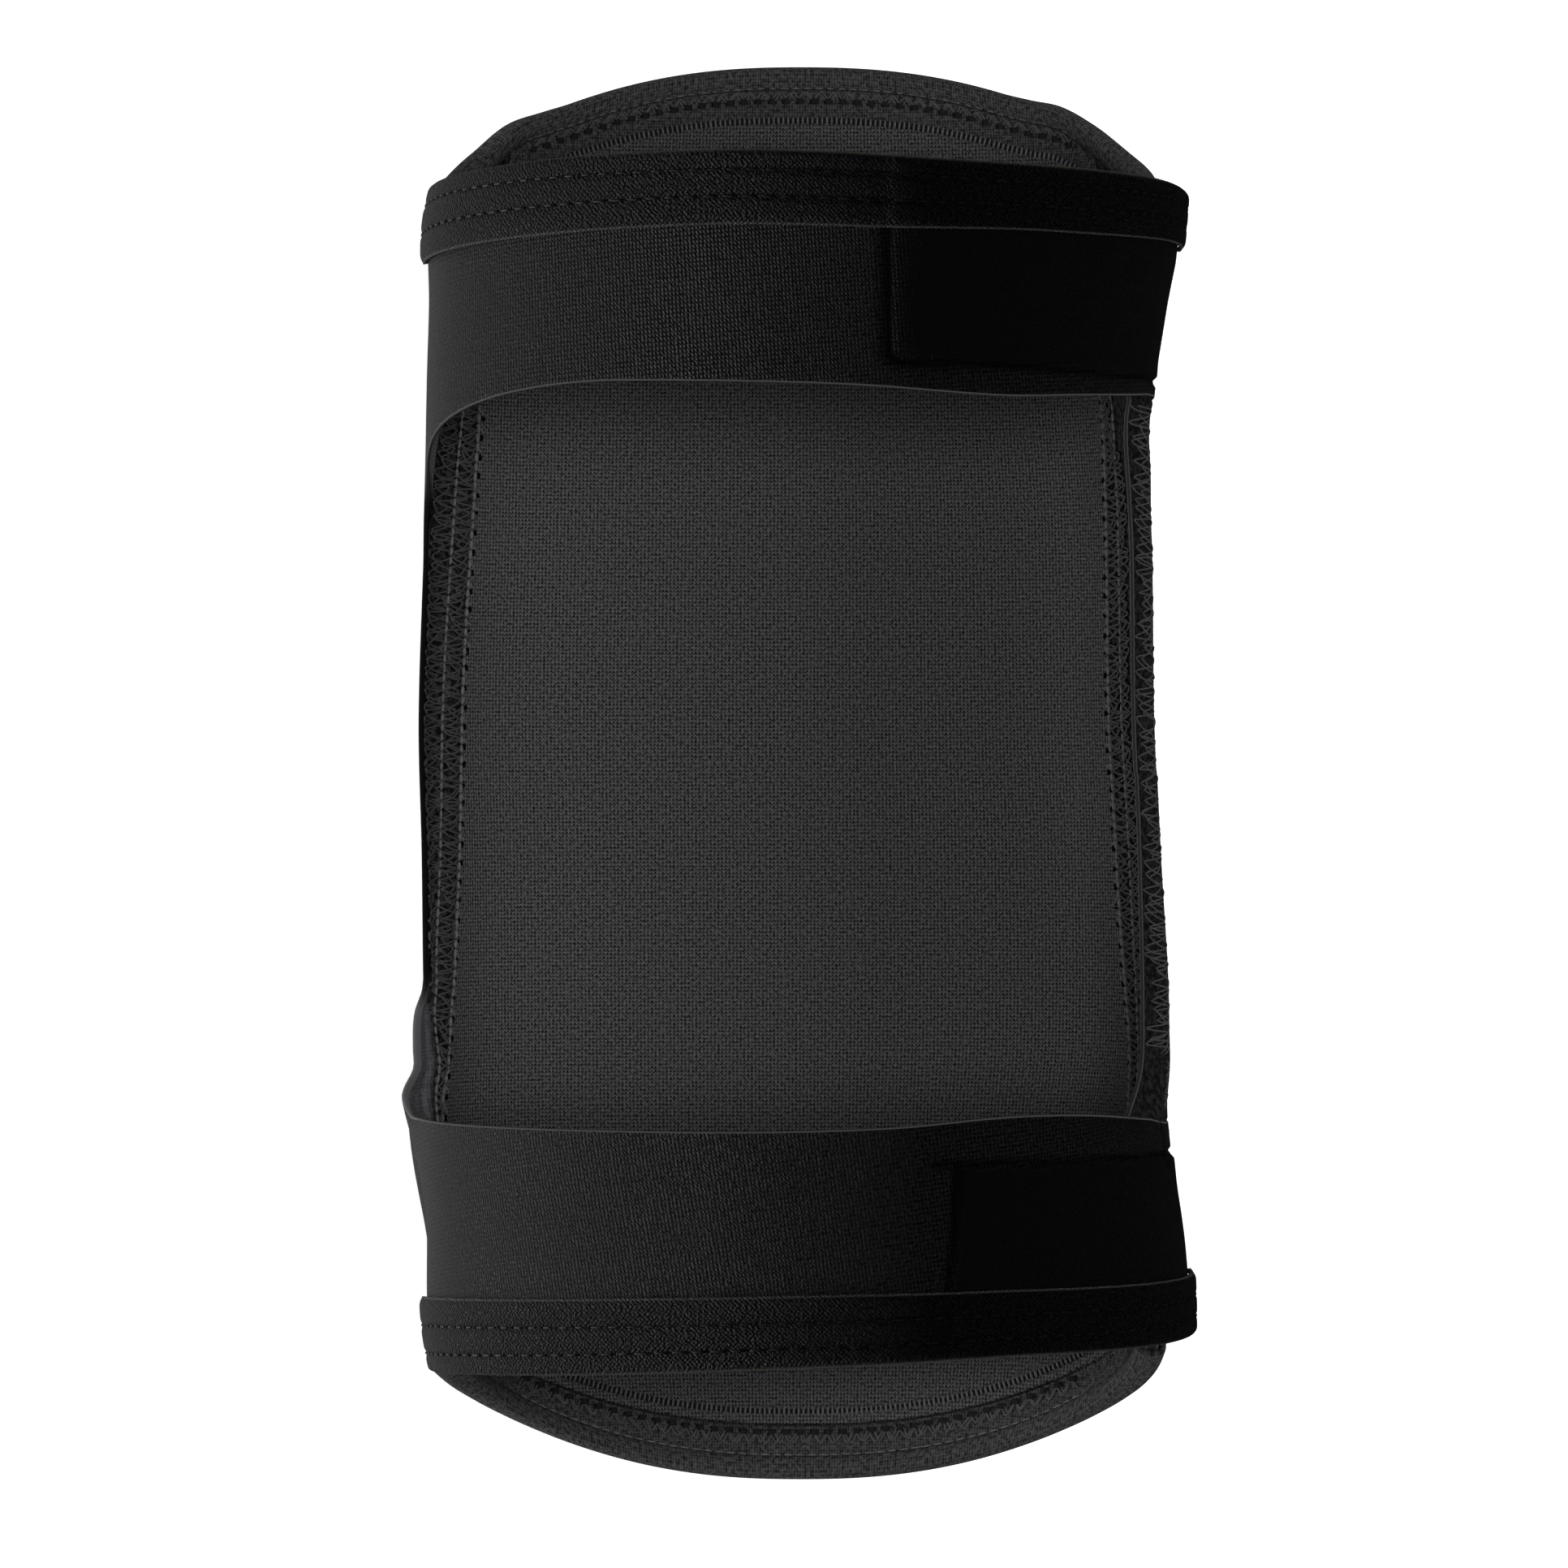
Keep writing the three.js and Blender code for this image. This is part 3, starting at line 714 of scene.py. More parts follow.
def belly(s, y):
    """How far the left wing's wall is pushed out at a place."""
    run = -np.asarray(s, float)
    seam = seam_girth(-1, y)
    across = read_table(BELLY_ACROSS, 1, (run - seam) / (LEFT_RIM - seam))
    fade = 1 - smooth_step(LEFT_RIM, LEFT_RIM + BELLY_FADE, run)
    return read_table(BELLY, 1, y) * across * fade


def covered(s, y):
    """The share of the left wing's rim that threads cover, where the wall is thin."""
    return np.clip(belly(s, y) / COVERED_BELLY, 0, 1) * smooth_step(*COVERED_RISE, y)


def around_right(girth):
    """The share of its give that the right side has at a girth."""
    return smooth_step(*GIVE_RISE, girth) * smooth_step(*GIVE_FALL, girth)


def give(s, y):
    """How far the right side gives under the straps and beside the window."""
    s = np.asarray(s, float)
    girth = np.where(s < -HALF_GIRTH, s + 2 * HALF_GIRTH, s)
    return around_right(girth) * read_table(GIVE, 1, y)


def wing_give(s, y):
    return give(s, y - WING_UNDER * np.sign(y))


def strap_depth(s, y, kink_out):
    lift = CLOTH + HOOK_TAPE + 2 * LAYER_GAP
    lift = lift * smooth_step(LIFT_FROM, LIFT_TO, -np.asarray(s))
    return lift + kink_out * kink(s, y) + belly(s, y) + give(s, y)


def left_thickness(s, y):
    return CLOTH * (1 - WALL_THINNING * np.clip(belly(s, y) / WALL_BELLY, 0, 1))


def wing_thickness(s, y):
    """The right wing is fuller beside the window's corners, where the straps push it together."""
    full = FULL_LOWER * smooth_step(*FULL_LOWER_RISE, y)
    full = full + FULL_UPPER * smooth_step(*FULL_UPPER_RISE, y)
    return CLOTH + full * (around_right(s) * smooth_step(*FULL_END, np.abs(y)))


def right_far_depth(s, y):
    """The right wing's outer face beside the window, thin towards its rim."""
    from_rim = 1 - smooth_step(0, EDGE_TAPER, RIGHT_RIM - s)
    return wing_give(s, y) + mix(wing_thickness(s, y), EDGE_THICKNESS, from_rim)


def free_edge(s, y):
    """Where a wing's edge is cut and free, and not sewn to the pad or bound."""
    free = smooth_step(*FREE_FROM_SEAM, np.abs(s) - nearest_seam(s, y))
    free = free * smooth_step(*FREE_FROM_END, inset_from_end(s, y))
    return free * (1 - np.clip(belly(s, y) / FREE_BELLY, 0, 1))


def distance_to(line, s, y):
    """The distance of places on the cloth from a line of corners given as run to the left and y."""
    run = -np.asarray(s, float)
    nearest = np.full(run.shape, 1e9)
    for (run_a, y_a), (run_b, y_b) in zip(line, line[1:]):
        along = np.array([run_b - run_a, y_b - y_a])
        share = ((run - run_a) * along[0] + (y - y_a) * along[1]) / (along @ along)
        share = np.clip(share, 0, 1)
        gap = np.hypot(run - run_a - share * along[0], y - y_a - share * along[1])
        nearest = np.minimum(nearest, gap)
    return nearest


def past_hook_side(end, s, edge):
    """The share of a strap that is past the side of its hook tape, with a soft edge."""
    side = HOOK_SIDE[end]
    return smooth_step(side + edge[0], side + edge[1], -np.asarray(s, float))


def hook_region(s, y):
    """The share of a strap's face that has its hook tape behind it."""
    shares = {}
    for end, sign in END_SIGN.items():
        start, stop = [HOOK_FOOT[end] + sign * step for step in HOOK_EDGE]
        shares[end] = past_hook_side(end, s, HOOK_EDGE) * smooth_step(start, stop, y)
    return np.where(np.asarray(y) > 0, shares["upper"], shares["lower"])


def strap_relief(s, y, groove_depth):
    """The face of the straps: drawn in along the hook tapes' sewing, a little proud inside it."""
    relief = HOOK_LIFT * hook_region(s, y)
    for line in SEWN_LINES:
        relief = relief - groove_depth * bell(distance_to(line, s, y), GROOVE_WIDTH)
    return relief - groove_depth * bell(distance_to(STRAP_CREASE, s, y), CREASE_WIDTH)


def painted_groove_shade(s, y):
    """The share of a place that is down in the hook tapes' sewing, where shade is painted black."""
    share = np.zeros(np.shape(s))
    for line in SEWN_LINES:
        share = np.maximum(share, bell(distance_to(line, s, y), GROOVE_SHADE_WIDTH))
    return share


def grain(s, y):
    """Cloth places turned to the way that the jersey's courses run on each strap."""
    angle = np.radians(mix(*GRAIN_TURN, smooth_step(*GRAIN_CHANGE, y)))
    return s * np.cos(angle) + y * np.sin(angle), y * np.cos(angle) - s * np.sin(angle)


# Meshes
def build_mesh(name, points, faces, materials, face_materials, places, values=None):
    """A smooth mesh in metres. places are s and y on the cloth, kept as two UV maps in metres."""
    mesh = bpy.data.meshes.new(name)
    mesh.from_pydata(points.tolist(), [], faces.tolist())
    for material in materials:
        mesh.materials.append(material)
    mesh.polygons.foreach_set("material_index", np.asarray(face_materials, np.int32))
    corners = np.asarray(faces).ravel()
    s, y = places[:, 0], places[:, 1]
    turned = np.stack(grain(s, y), axis=-1)
    for layer, where in (("cloth", places), ("grain", turned)):
        uv = mesh.uv_layers.new(name=layer)
        uv.data.foreach_set("uv", (where[corners] * MM).astype(np.float32).ravel())
    for key, value in (values or {}).items():
        attribute = mesh.attributes.new(key, "FLOAT", "POINT")
        attribute.data.foreach_set("value", np.asarray(value, np.float32))
    mesh.update()
    mesh.shade_smooth()
    return mesh


def face_outwards(mesh):
    """Turns every face of a closed mesh outwards."""
    shell = bmesh.new()
    shell.from_mesh(mesh)
    bmesh.ops.recalc_face_normals(shell, faces=shell.faces)
    shell.to_mesh(mesh)
    shell.free()


def grid_cells(number):
    """The cells of a grid of numbered nodes."""
    corners = [number[:-1, :-1], number[1:, :-1], number[1:, 1:], number[:-1, 1:]]
    return np.stack(corners, axis=-1).reshape(-1, 4)


class Cloth:
    """Cloth cut from joined blocks of cells, which becomes a closed wall with round cut edges."""

    RIM_STEPS = 5
    JOIN = 0.001

    def __init__(self):
        self.blocks = []

    def block(self, s, y):
        """Adds a grid of nodes: girth grows along its first axis and y along its second."""
        self.blocks.append(np.stack(np.broadcast_arrays(s, y), axis=-1))

    def join(self):
        nodes = np.concatenate([block.reshape(-1, 2) for block in self.blocks])
        keys = np.round(nodes / self.JOIN).astype(np.int64)
        _, first, number = np.unique(keys, axis=0, return_index=True, return_inverse=True)
        number = number.ravel()
        cells = []
        start = 0
        for block in self.blocks:
            columns, rows = block.shape[:2]
            stop = start + columns * rows
            cells.append(grid_cells(number[start:stop].reshape(columns, rows)))
            start = stop
        return nodes[first], np.concatenate(cells)

    def wall(
        self, name, near, far, edge_round, materials, values=None, free=None, thin_outside=False
    ):
        """A mesh between two depths. materials: the side to the leg, the outer side, the cut edge.

        values gives attributes by name, as functions of a place. free gives the share of an edge's
        thinning at a place; thin_outside moves the outer face for it.
        """
        nodes, cells = self.join()
        s, y = nodes[:, 0], nodes[:, 1]
        near = np.broadcast_to(near(s, y), s.shape)
        far = np.broadcast_to(far(s, y), s.shape)
        count = len(nodes)
        edges = np.concatenate([cells[:, [k, (k + 1) % 4]] for k in range(4)])
        open_edges = edges[~np.isin(edges @ [count, 1], edges[:, ::-1] @ [count, 1])]
        rim, on_rim = np.unique(open_edges, return_inverse=True)
        on_rim = on_rim.reshape(-1, 2)
        along = nodes[open_edges[:, 1]] - nodes[open_edges[:, 0]]
        away = np.zeros((len(rim), 2))
        for corner in (0, 1):
            np.add.at(away, on_rim[:, corner], np.stack([along[:, 1], -along[:, 0]], axis=-1))
        away /= np.maximum(np.linalg.norm(away, axis=1, keepdims=True), 1e-9)
        if free:
            thin = free(s, y) * (1 - smooth_step(0, EDGE_TAPER, self.from_edge(nodes, rim)))
            if thin_outside:
                far = mix(far, near + EDGE_THICKNESS, thin)
            else:
                near = mix(near, far - EDGE_THICKNESS, thin)
        places = [nodes, nodes]
        depths = [near, far]
        layers = [np.full(count, -1.0), np.full(count, 1.0)]
        rings = [rim]
        middle = (near[rim] + far[rim]) / 2
        half = (far[rim] - near[rim]) / 2
        for turn in np.linspace(-math.pi / 2, math.pi / 2, self.RIM_STEPS + 2)[1:-1]:
            rings.append(2 * count + (len(rings) - 1) * len(rim) + np.arange(len(rim)))
            places.append(nodes[rim] + away * edge_round * math.cos(turn))
            depths.append(middle + half * math.sin(turn))
            layers.append(np.full(len(rim), math.sin(turn)))
        rings.append(rim + count)
        faces = [cells, cells[:, ::-1] + count]
        for low, high in zip(rings, rings[1:]):
            start, stop = on_rim[:, 0], on_rim[:, 1]
            faces.append(np.stack([low[stop], low[start], high[start], high[stop]], axis=-1))
        slots = [0] * len(cells) + [1] * len(cells) + [2] * (len(open_edges) * (len(rings) - 1))
        places = np.concatenate(places)
        s, y = places[:, 0], places[:, 1]
        points = FACE.at(s, y, np.concatenate(depths))
        kept = {key: value(s, y) for key, value in (values or {}).items()}
        kept["layer"] = np.concatenate(layers)
        return build_mesh(name, points, np.concatenate(faces), materials, slots, places, kept)

    @staticmethod
    def from_edge(nodes, rim):
        """The distance of every node from the nearest one on an edge."""
        near = kdtree.KDTree(len(rim))
        for number, (s, y) in enumerate(nodes[rim]):
            near.insert((s, y, 0), number)
        near.balance()
        return np.array([near.find((s, y, 0))[2] for s, y in nodes])

    def flat(self):
        """The cut's width and length in metres and its area, by the names that a sheet has."""
        nodes, cells = self.join()
        width, length_ = np.ptp(nodes, axis=0) * MM
        corners = nodes[cells]
        after = np.roll(corners, -1, axis=1)
        area = np.sum(corners[..., 0] * after[..., 1] - after[..., 0] * corners[..., 1]) / 2
        return {"flat": (float(width), float(length_)), "area": float(area) * MM * MM}


def add_piece(mesh, slot=None, replaces=()):
    piece = bpy.data.objects.new(mesh.name, mesh)
    bpy.context.scene.collection.objects.link(piece)
    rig.ride(piece, BODY)
    if slot:
        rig.slot(piece, slot)
    if replaces:
        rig.replaces(piece, *replaces)
    return piece


# The front panel and its lining
def panel_grid(columns, insets, middle_rows):
    """Girths and distances of the panel's nodes; rows follow the ends at the insets."""
    across = np.linspace(-1, 1, columns + 1)
    deepest = insets[-1]
    rows = [("lower", inset) for inset in insets]
    rows += [("between", share) for share in np.linspace(0, 1, middle_rows + 1)[1:-1]]
    rows += [("upper", inset) for inset in insets[::-1]]
    s_grid = np.zeros((columns + 1, len(rows)))
    y_grid = np.zeros_like(s_grid)
    for row, (kind, value) in enumerate(rows):
        y = np.zeros(columns + 1)
        for _ in range(SETTLE_ROUNDS):
            seam = nearest_seam(across, y)
            s = across * (seam - GAP / 2)
            low = outer_edge("lower", s)
            high = outer_edge("upper", s)
            if kind == "lower":
                y = low + value
            elif kind == "upper":
                y = high - value
            else:
                y = mix(low + deepest, high - deepest, value)
        s_grid[:, row] = s
        y_grid[:, row] = y
    return s_grid, y_grid


def round_rise(share):
    return np.sin(math.pi / 2 * np.clip(share, 0, 1))


def pad_far_depth(s, y):
    inset = inset_from_end(s, y) - PADDING_START
    edge = mix(CLOTH, PAD_SIDE_EDGE, smooth_step(0, LINING_INSET, inset))
    rise = round_rise((nearest_seam(s, y) - np.abs(s)) / PADDING_RISE_GIRTH)
    return mix(edge, PAD_THICKNESS, rise * round_rise(inset / PADDING_RISE_LEG))


def pad_near_depth(s, y, zigzag_pitch):
    """The side to the leg: the lining's recess, and dents where the end's zigzag draws it in."""
    inset = inset_from_end(s, y)
    recess = smooth_step(RECESS_EDGE - RECESS_STEP, RECESS_EDGE, inset)
    dents = 0.5 + 0.5 * np.cos(2 * math.pi * s / zigzag_pitch)
    from_dents = inset - np.where(np.asarray(y) > 0, END_DENTS["upper"], END_DENTS["lower"])
    drawn = DENT_DEPTH * bell(from_dents, DENT_WIDTH) * dents
    drawn = drawn + TROUGH_DEPTH * bell(from_dents + TROUGH_SHIFT, TROUGH_WIDTH)
    return (LINING + 1.5 * GAP) * recess + drawn * (1 - recess)


def swell(cap, pressure, columns=46, rows=70):
    """How far the foam pushes the cover out, from a cloth simulation on a coarser panel."""
    s, y = panel_grid(columns, (0.0,), rows)
    count = s.size
    number = np.arange(count).reshape(s.shape)
    near = FACE.at(s, y, 0.0)
    far = FACE.at(s, y, FOAM_SHARE * pad_far_depth(s, y))
    points = np.concatenate([near.reshape(-1, 3), far.reshape(-1, 3)])
    cells = grid_cells(number)
    border = np.concatenate([number[:-1, 0], number[-1, :-1], number[:0:-1, -1], number[0, :0:-1]])
    after = np.roll(border, -1)
    sides = np.stack([after, border, border + count, after + count], axis=-1)
    faces = np.concatenate([cells, cells[:, ::-1] + count, sides])
    mesh = bpy.data.meshes.new("pad_cover_slack")
    mesh.from_pydata(points.tolist(), [], faces.tolist())
    slack = bpy.data.objects.new("pad_cover_slack", mesh)
    scene = bpy.context.scene
    scene.collection.objects.link(slack)
    held = slack.vertex_groups.new(name="sewn")
    sewn = np.unique(np.concatenate([np.arange(count), border + count]))
    held.add(sewn.tolist(), 1.0, "REPLACE")
    cover = slack.modifiers.new("cover", "CLOTH").settings
    cover.vertex_group_mass = "sewn"
    cover.use_pressure = True
    cover.uniform_pressure_force = pressure
    cover.effector_weights.gravity = 0
    for step in range(1, SWELL_FRAMES + 1):
        scene.frame_set(step)
    blown = slack.evaluated_get(bpy.context.evaluated_depsgraph_get())
    moved = np.zeros(2 * count * 3)
    blown.data.vertices.foreach_get("co", moved)
    push = moved.reshape(-1, 3)[count:] - points[count:]
    scene.frame_set(1)
    bpy.data.objects.remove(slack)
    bpy.data.meshes.remove(mesh)
    distance = np.linalg.norm(push, axis=1, keepdims=True)
    push *= np.minimum(1, cap / np.maximum(distance, 1e-9))
    return push.reshape(*s.shape, 3)


def read_push(push, s, y):
    """A simulated push read at places on the panel."""
    across = np.clip((s / (nearest_seam(s, y) - GAP / 2) + 1) / 2, 0, 1)
    low = outer_edge("lower", s)
    along = np.clip((y - low) / (outer_edge("upper", s) - low), 0, 1)
    return read_grid(push, across * (push.shape[0] - 1), along * (push.shape[1] - 1))


def swell_face(mesh, push):
    """Moves the outer face of the pad by a simulated push, no lower than what it lies on."""
    count = len(mesh.vertices)
    points = np.zeros(count * 3)
    mesh.vertices.foreach_get("co", points)
    points = points.reshape(-1, 3)
    layer = np.zeros(count)
    mesh.attributes["layer"].data.foreach_get("value", layer)
    places = np.zeros((count, 2))
    corners = np.zeros(len(mesh.loops), np.int32)
    mesh.loops.foreach_get("vertex_index", corners)
    uv = np.zeros(len(mesh.loops) * 2)
    mesh.uv_layers["cloth"].data.foreach_get("uv", uv)
    places[corners] = uv.reshape(-1, 2) / MM
    outer = layer > 0.99
    points[outer] += read_push(push, places[outer, 0], places[outer, 1])
    points[:, 2] = np.maximum(points[:, 2], 0)
    mesh.vertices.foreach_set("co", points.ravel())
    mesh.update()


# The wings and their arms
def sweep_girths(side, rim, corner, armed, columns, straight):
    """Girths from a rim to an arm's end: even along the corner's ellipse, then even in girth."""
    turn = np.linspace(0, math.pi / 2, columns + 1)
    round_part = rim + corner * (1 - np.cos(turn))
    straight_part = np.linspace(rim + corner, armed, straight + 1)[1:]
    girths = side * np.concatenate([round_part, straight_part])
    return np.sort(girths)


def add_wing(cloth, side, rim, columns, arm_rows, window_rows, inner_edge, edge):
    """A wing from its seam to its rim, with rows that meet the arms above and below the window."""
    corner = {end: float(inner_edge(end, np.array(side * rim))) for end in END_SIGN}
    share = np.linspace(0, 1, columns + 1)

    def strip(low, high, rows):
        s_rows = []
        y_rows = []
        for along in np.linspace(0, 1, rows + 1):
            y = np.zeros(columns + 1)
            for _ in range(SETTLE_ROUNDS):
                s = side * mix(seam_girth(side, y) + GAP / 2, rim, share)
                y = mix(low(s), high(s), along)
            order = np.argsort(s)
            s_rows.append(s[order])
            y_rows.append(y[order])
        cloth.block(np.stack(s_rows, axis=1), np.stack(y_rows, axis=1))

    level = {end: (lambda s, end=end: np.full(s.shape, corner[end])) for end in END_SIGN}
    strip(lambda s: edge("lower", s), level["lower"], arm_rows)
    strip(level["lower"], level["upper"], window_rows)
    strip(level["upper"], lambda s: edge("upper", s), arm_rows)


def add_arm(cloth, end, girths, rows, inner_edge, edge):
    share = np.linspace(0, 1, rows + 1)[None, :]
    inner = inner_edge(end, girths)[:, None]
    outer = edge(end, girths)[:, None]
    low, high = (inner, outer) if END_SIGN[end] > 0 else (outer, inner)
    cloth.block(girths[:, None], mix(low, high, share))


def seam_width(side, y):
    """The share of a flatlock seam's width that shows where the wing folds beside a strap."""
    start, stop, before, after = SEAM_FOLD[side]
    return mix(before, after, smooth_step(start, stop, y))


def seam_shade(side):
    """How near a place is to the flatlock seam, where threads cover the cloth and shade is painted between them; under
    the upper strap the right wing's inside also gets painted shade out to its rim.
    """
    _, second, last = FLATLOCK_LINES[side]

    def shade(s, y):
        past = side * s - seam_girth(side, y)
        if side < 0:
            reach = mix(second, last, smooth_step(*SHADE_FOOT, y))
            reach = reach * seam_width(side, y) + SHADE_MARGIN
        else:
            # Under the upper strap the right wing's inside is darkened out to its rim: painted shade
            painted_shade_under_strap = smooth_step(*SHADE_UNDER_RISE, y) * smooth_step(*SHADE_UNDER_FALL, y)
            reach = mix(last + SHADE_MARGIN, RIGHT_RIM - SEAM_GIRTH, painted_shade_under_strap)
        return 1 - smooth_step(reach + SHADE_FADE[0], reach + SHADE_FADE[1], past)

    return shade


def overlocked(s, y):
    """The share of the right wing's outer face that its rim's overlock threads cover."""
    share = smooth_step(*OVERLOCK_FADE, RIGHT_RIM - s)
    return share * smooth_step(*OVERLOCK_ENDS, inset_from_end(s, y))


# Bindings
def binding_base(s, y, kink_out):
    """The depth of the strap under its binding, a little proud over the hook tape."""
    upper, lower = [past_hook_side(end, s, BINDING_EDGE) for end in ("upper", "lower")]
    return strap_depth(s, y, kink_out) + BINDING_LIFT * np.where(y > 0, upper, lower)


def tape_section(outer_leg, inner_leg, rows):
    """The closed section of a tape folded over an edge: insets, depths and places across it."""
    top = CLOTH + LAYER_GAP + TAPE / 2
    bottom = -LAYER_GAP - TAPE / 2
    reach = LAYER_GAP + TAPE / 2
    outer_step, inner_step = TAPE_STEPS
    outer = np.linspace(outer_leg, 0, int(outer_leg / outer_step) + 1)
    turn = np.linspace(0, math.pi, FOLD_POINTS)[1:-1]
    inner = np.linspace(0, inner_leg, int(inner_leg / inner_step) + 1)
    inset = np.concatenate([outer, -reach * np.sin(turn), inner])
    fold = CLOTH / 2 + (top - bottom) / 2 * np.cos(turn)
    depth = np.concatenate([np.full(outer.shape, top), fold, np.full(inner.shape, bottom)])
    along = np.concatenate([[0], np.cumsum(np.hypot(np.diff(inset), np.diff(depth)))])
    to_end = np.minimum(along, along[-1] - along)
    settle = TAPE_SETTLE * (1 - smooth_step(0, TAPE_SETTLE_REACH, to_end))
    depth = depth - settle * np.sign(depth - CLOTH / 2)
    across = np.stack([np.gradient(depth), -np.gradient(inset)], axis=-1)
    across /= np.linalg.norm(across, axis=1, keepdims=True)
    half = TAPE / 2 * mix(TAPE_RIM, TAPE_BODY, smooth_step(0, TAPE_RIM_REACH, to_end))
    path = np.stack([inset, depth], axis=-1)
    drawn = np.zeros(len(path))
    on_outer = np.arange(len(path)) < len(outer)
    for row in rows:
        drawn += ROW_DRAW * bell(inset - row, ROW_WIDTH) * on_outer
    outside = path + across * (half - drawn)[:, None]
    inside = path - across * half[:, None]
    ring = np.concatenate([outside, inside[::-1]])
    return ring, np.concatenate([along, along[::-1]]), along[-1]


def tape_share(end, s):
    return read_table(TAPE_SHARE[end], 1, -s)


def binding_mesh(name, end, girths, section, depth_at, material):
    ring, across, _ = section
    size = len(ring)
    half = size // 2
    steps = len(girths)
    s = np.repeat(girths[:, None], size, axis=1)
    edge = outer_edge(end, girths)
    inset = np.where(ring[:, 0] > 0, ring[:, 0] * tape_share(end, girths)[:, None], ring[:, 0])
    y = edge[:, None] - END_SIGN[end] * inset
    depth = depth_at(girths, edge)[:, None] + ring[None, :, 1]
    points = FACE.at(s, y, depth).reshape(-1, 3)
    number = np.arange(steps * size).reshape(steps, size)
    after = np.roll(number, -1, axis=1)
    sides = np.stack([number[:-1], after[:-1], after[1:], number[1:]], axis=-1).reshape(-1, 4)
    k = np.arange(half - 1)
    caps = [np.stack([row[k], row[k + 1], row[size - 2 - k], row[size - 1 - k]], axis=-1)
            for row in (number[0], number[-1])]
    faces = np.concatenate([sides, *caps])
    places = np.stack([s, np.repeat(across[None, :], steps, axis=0)], axis=-1).reshape(-1, 2)
    mesh = build_mesh(name, points, faces, [material], np.zeros(len(faces)), places)
    face_outwards(mesh)
    return mesh


# Stitches
def path_on(s, y, depth, side):
    """A path over the cloth and its upward directions; side is 1 outside, -1 towards the leg."""
    s, y = np.broadcast_arrays(np.asarray(s, float), np.asarray(y, float))
    return FACE.at(s, y, depth), side * FACE.outwards(s, y)


def follow_paths(name, tree, sizes, paths, material):
    """Runs a node tree along paths and keeps what it makes as one plain mesh piece."""
    points = np.concatenate([path for path, _ in paths])
    upwards = np.concatenate([up for _, up in paths])
    edges = []
    start = 0
    for path, _ in paths:
        edges += [(k, k + 1) for k in range(start, start + len(path) - 1)]
        start += len(path)
    guide = bpy.data.meshes.new(name + "_guide")
    guide.from_pydata(points.tolist(), edges, [])
    attribute = guide.attributes.new("up", "FLOAT_VECTOR", "POINT")
    attribute.data.foreach_set("vector", upwards.astype(np.float32).ravel())
    carrier = bpy.data.objects.new(name + "_guide", guide)
    bpy.context.scene.collection.objects.link(carrier)
    modifier = carrier.modifiers.new("sewing", "NODES")
    modifier.node_group = tree
    for item in tree.interface.items_tree:
        if item.name in sizes:
            modifier[item.identifier] = sizes[item.name]
        elif item.name == "Thread":
            modifier[item.identifier] = material
    sewn = carrier.evaluated_get(bpy.context.evaluated_depsgraph_get())
    mesh = bpy.data.meshes.new_from_object(sewn)
    mesh.name = name
    bpy.data.objects.remove(carrier)
    bpy.data.meshes.remove(guide)
    if not mesh.polygons:
        raise RuntimeError("no stitches were made for " + name)
    add_piece(mesh)


def sew_row(name, sizes, paths, material):
    """Single stitches along paths, as one piece."""
    follow_paths(name, stitch_row_tree(), sizes, paths, material)


def lay_thread(name, radius, paths, material):
    """Threads laid along paths, as one piece."""
    follow_paths(name, thread_path_tree(), {"Radius": radius}, paths, material)


def stitch_sizes(spacing, along, across, height):
    """The sizes of a row's stitches in metres, by the names that its node tree gives them."""
    return {"Spacing": spacing, "Along": along, "Across": across, "Height": height}


def node(tree, kind, inputs=None, **settings):
    """Adds a node with its settings; inputs are values, or sockets that are linked."""
    made = tree.nodes.new(kind)
    for key, value in settings.items():
        setattr(made, key, value)
    for socket, value in (inputs or {}).items():
        if isinstance(value, bpy.types.NodeSocket):
            tree.links.new(value, made.inputs[socket])
        else:
            made.inputs[socket].default_value = value
    return made


def sewing_tree(name, sizes):
    """A new node tree with a geometry input, named sizes in metres and a thread material."""
    tree = bpy.data.node_groups.new(name, "GeometryNodeTree")
    tree.interface.new_socket("Path", in_out="INPUT", socket_type="NodeSocketGeometry")
    for size in sizes:
        tree.interface.new_socket(size, in_out="INPUT", socket_type="NodeSocketFloat")
    tree.interface.new_socket("Thread", in_out="INPUT", socket_type="NodeSocketMaterial")
    tree.interface.new_socket("Stitches", in_out="OUTPUT", socket_type="NodeSocketGeometry")
    return tree, node(tree, "NodeGroupInput").outputs


def end_sewing_tree(tree, geometry, thread):
    """Real mesh, smooth, in the thread's material."""
    real = node(tree, "GeometryNodeRealizeInstances", {"Geometry": geometry})
    smooth = node(tree, "GeometryNodeSetShadeSmooth", {"Geometry": real.outputs["Geometry"]})
    worn = {"Geometry": smooth.outputs["Geometry"], "Material": thread}
    coloured = node(tree, "GeometryNodeSetMaterial", worn)
    node(tree, "NodeGroupOutput", {"Stitches": coloured.outputs["Geometry"]})


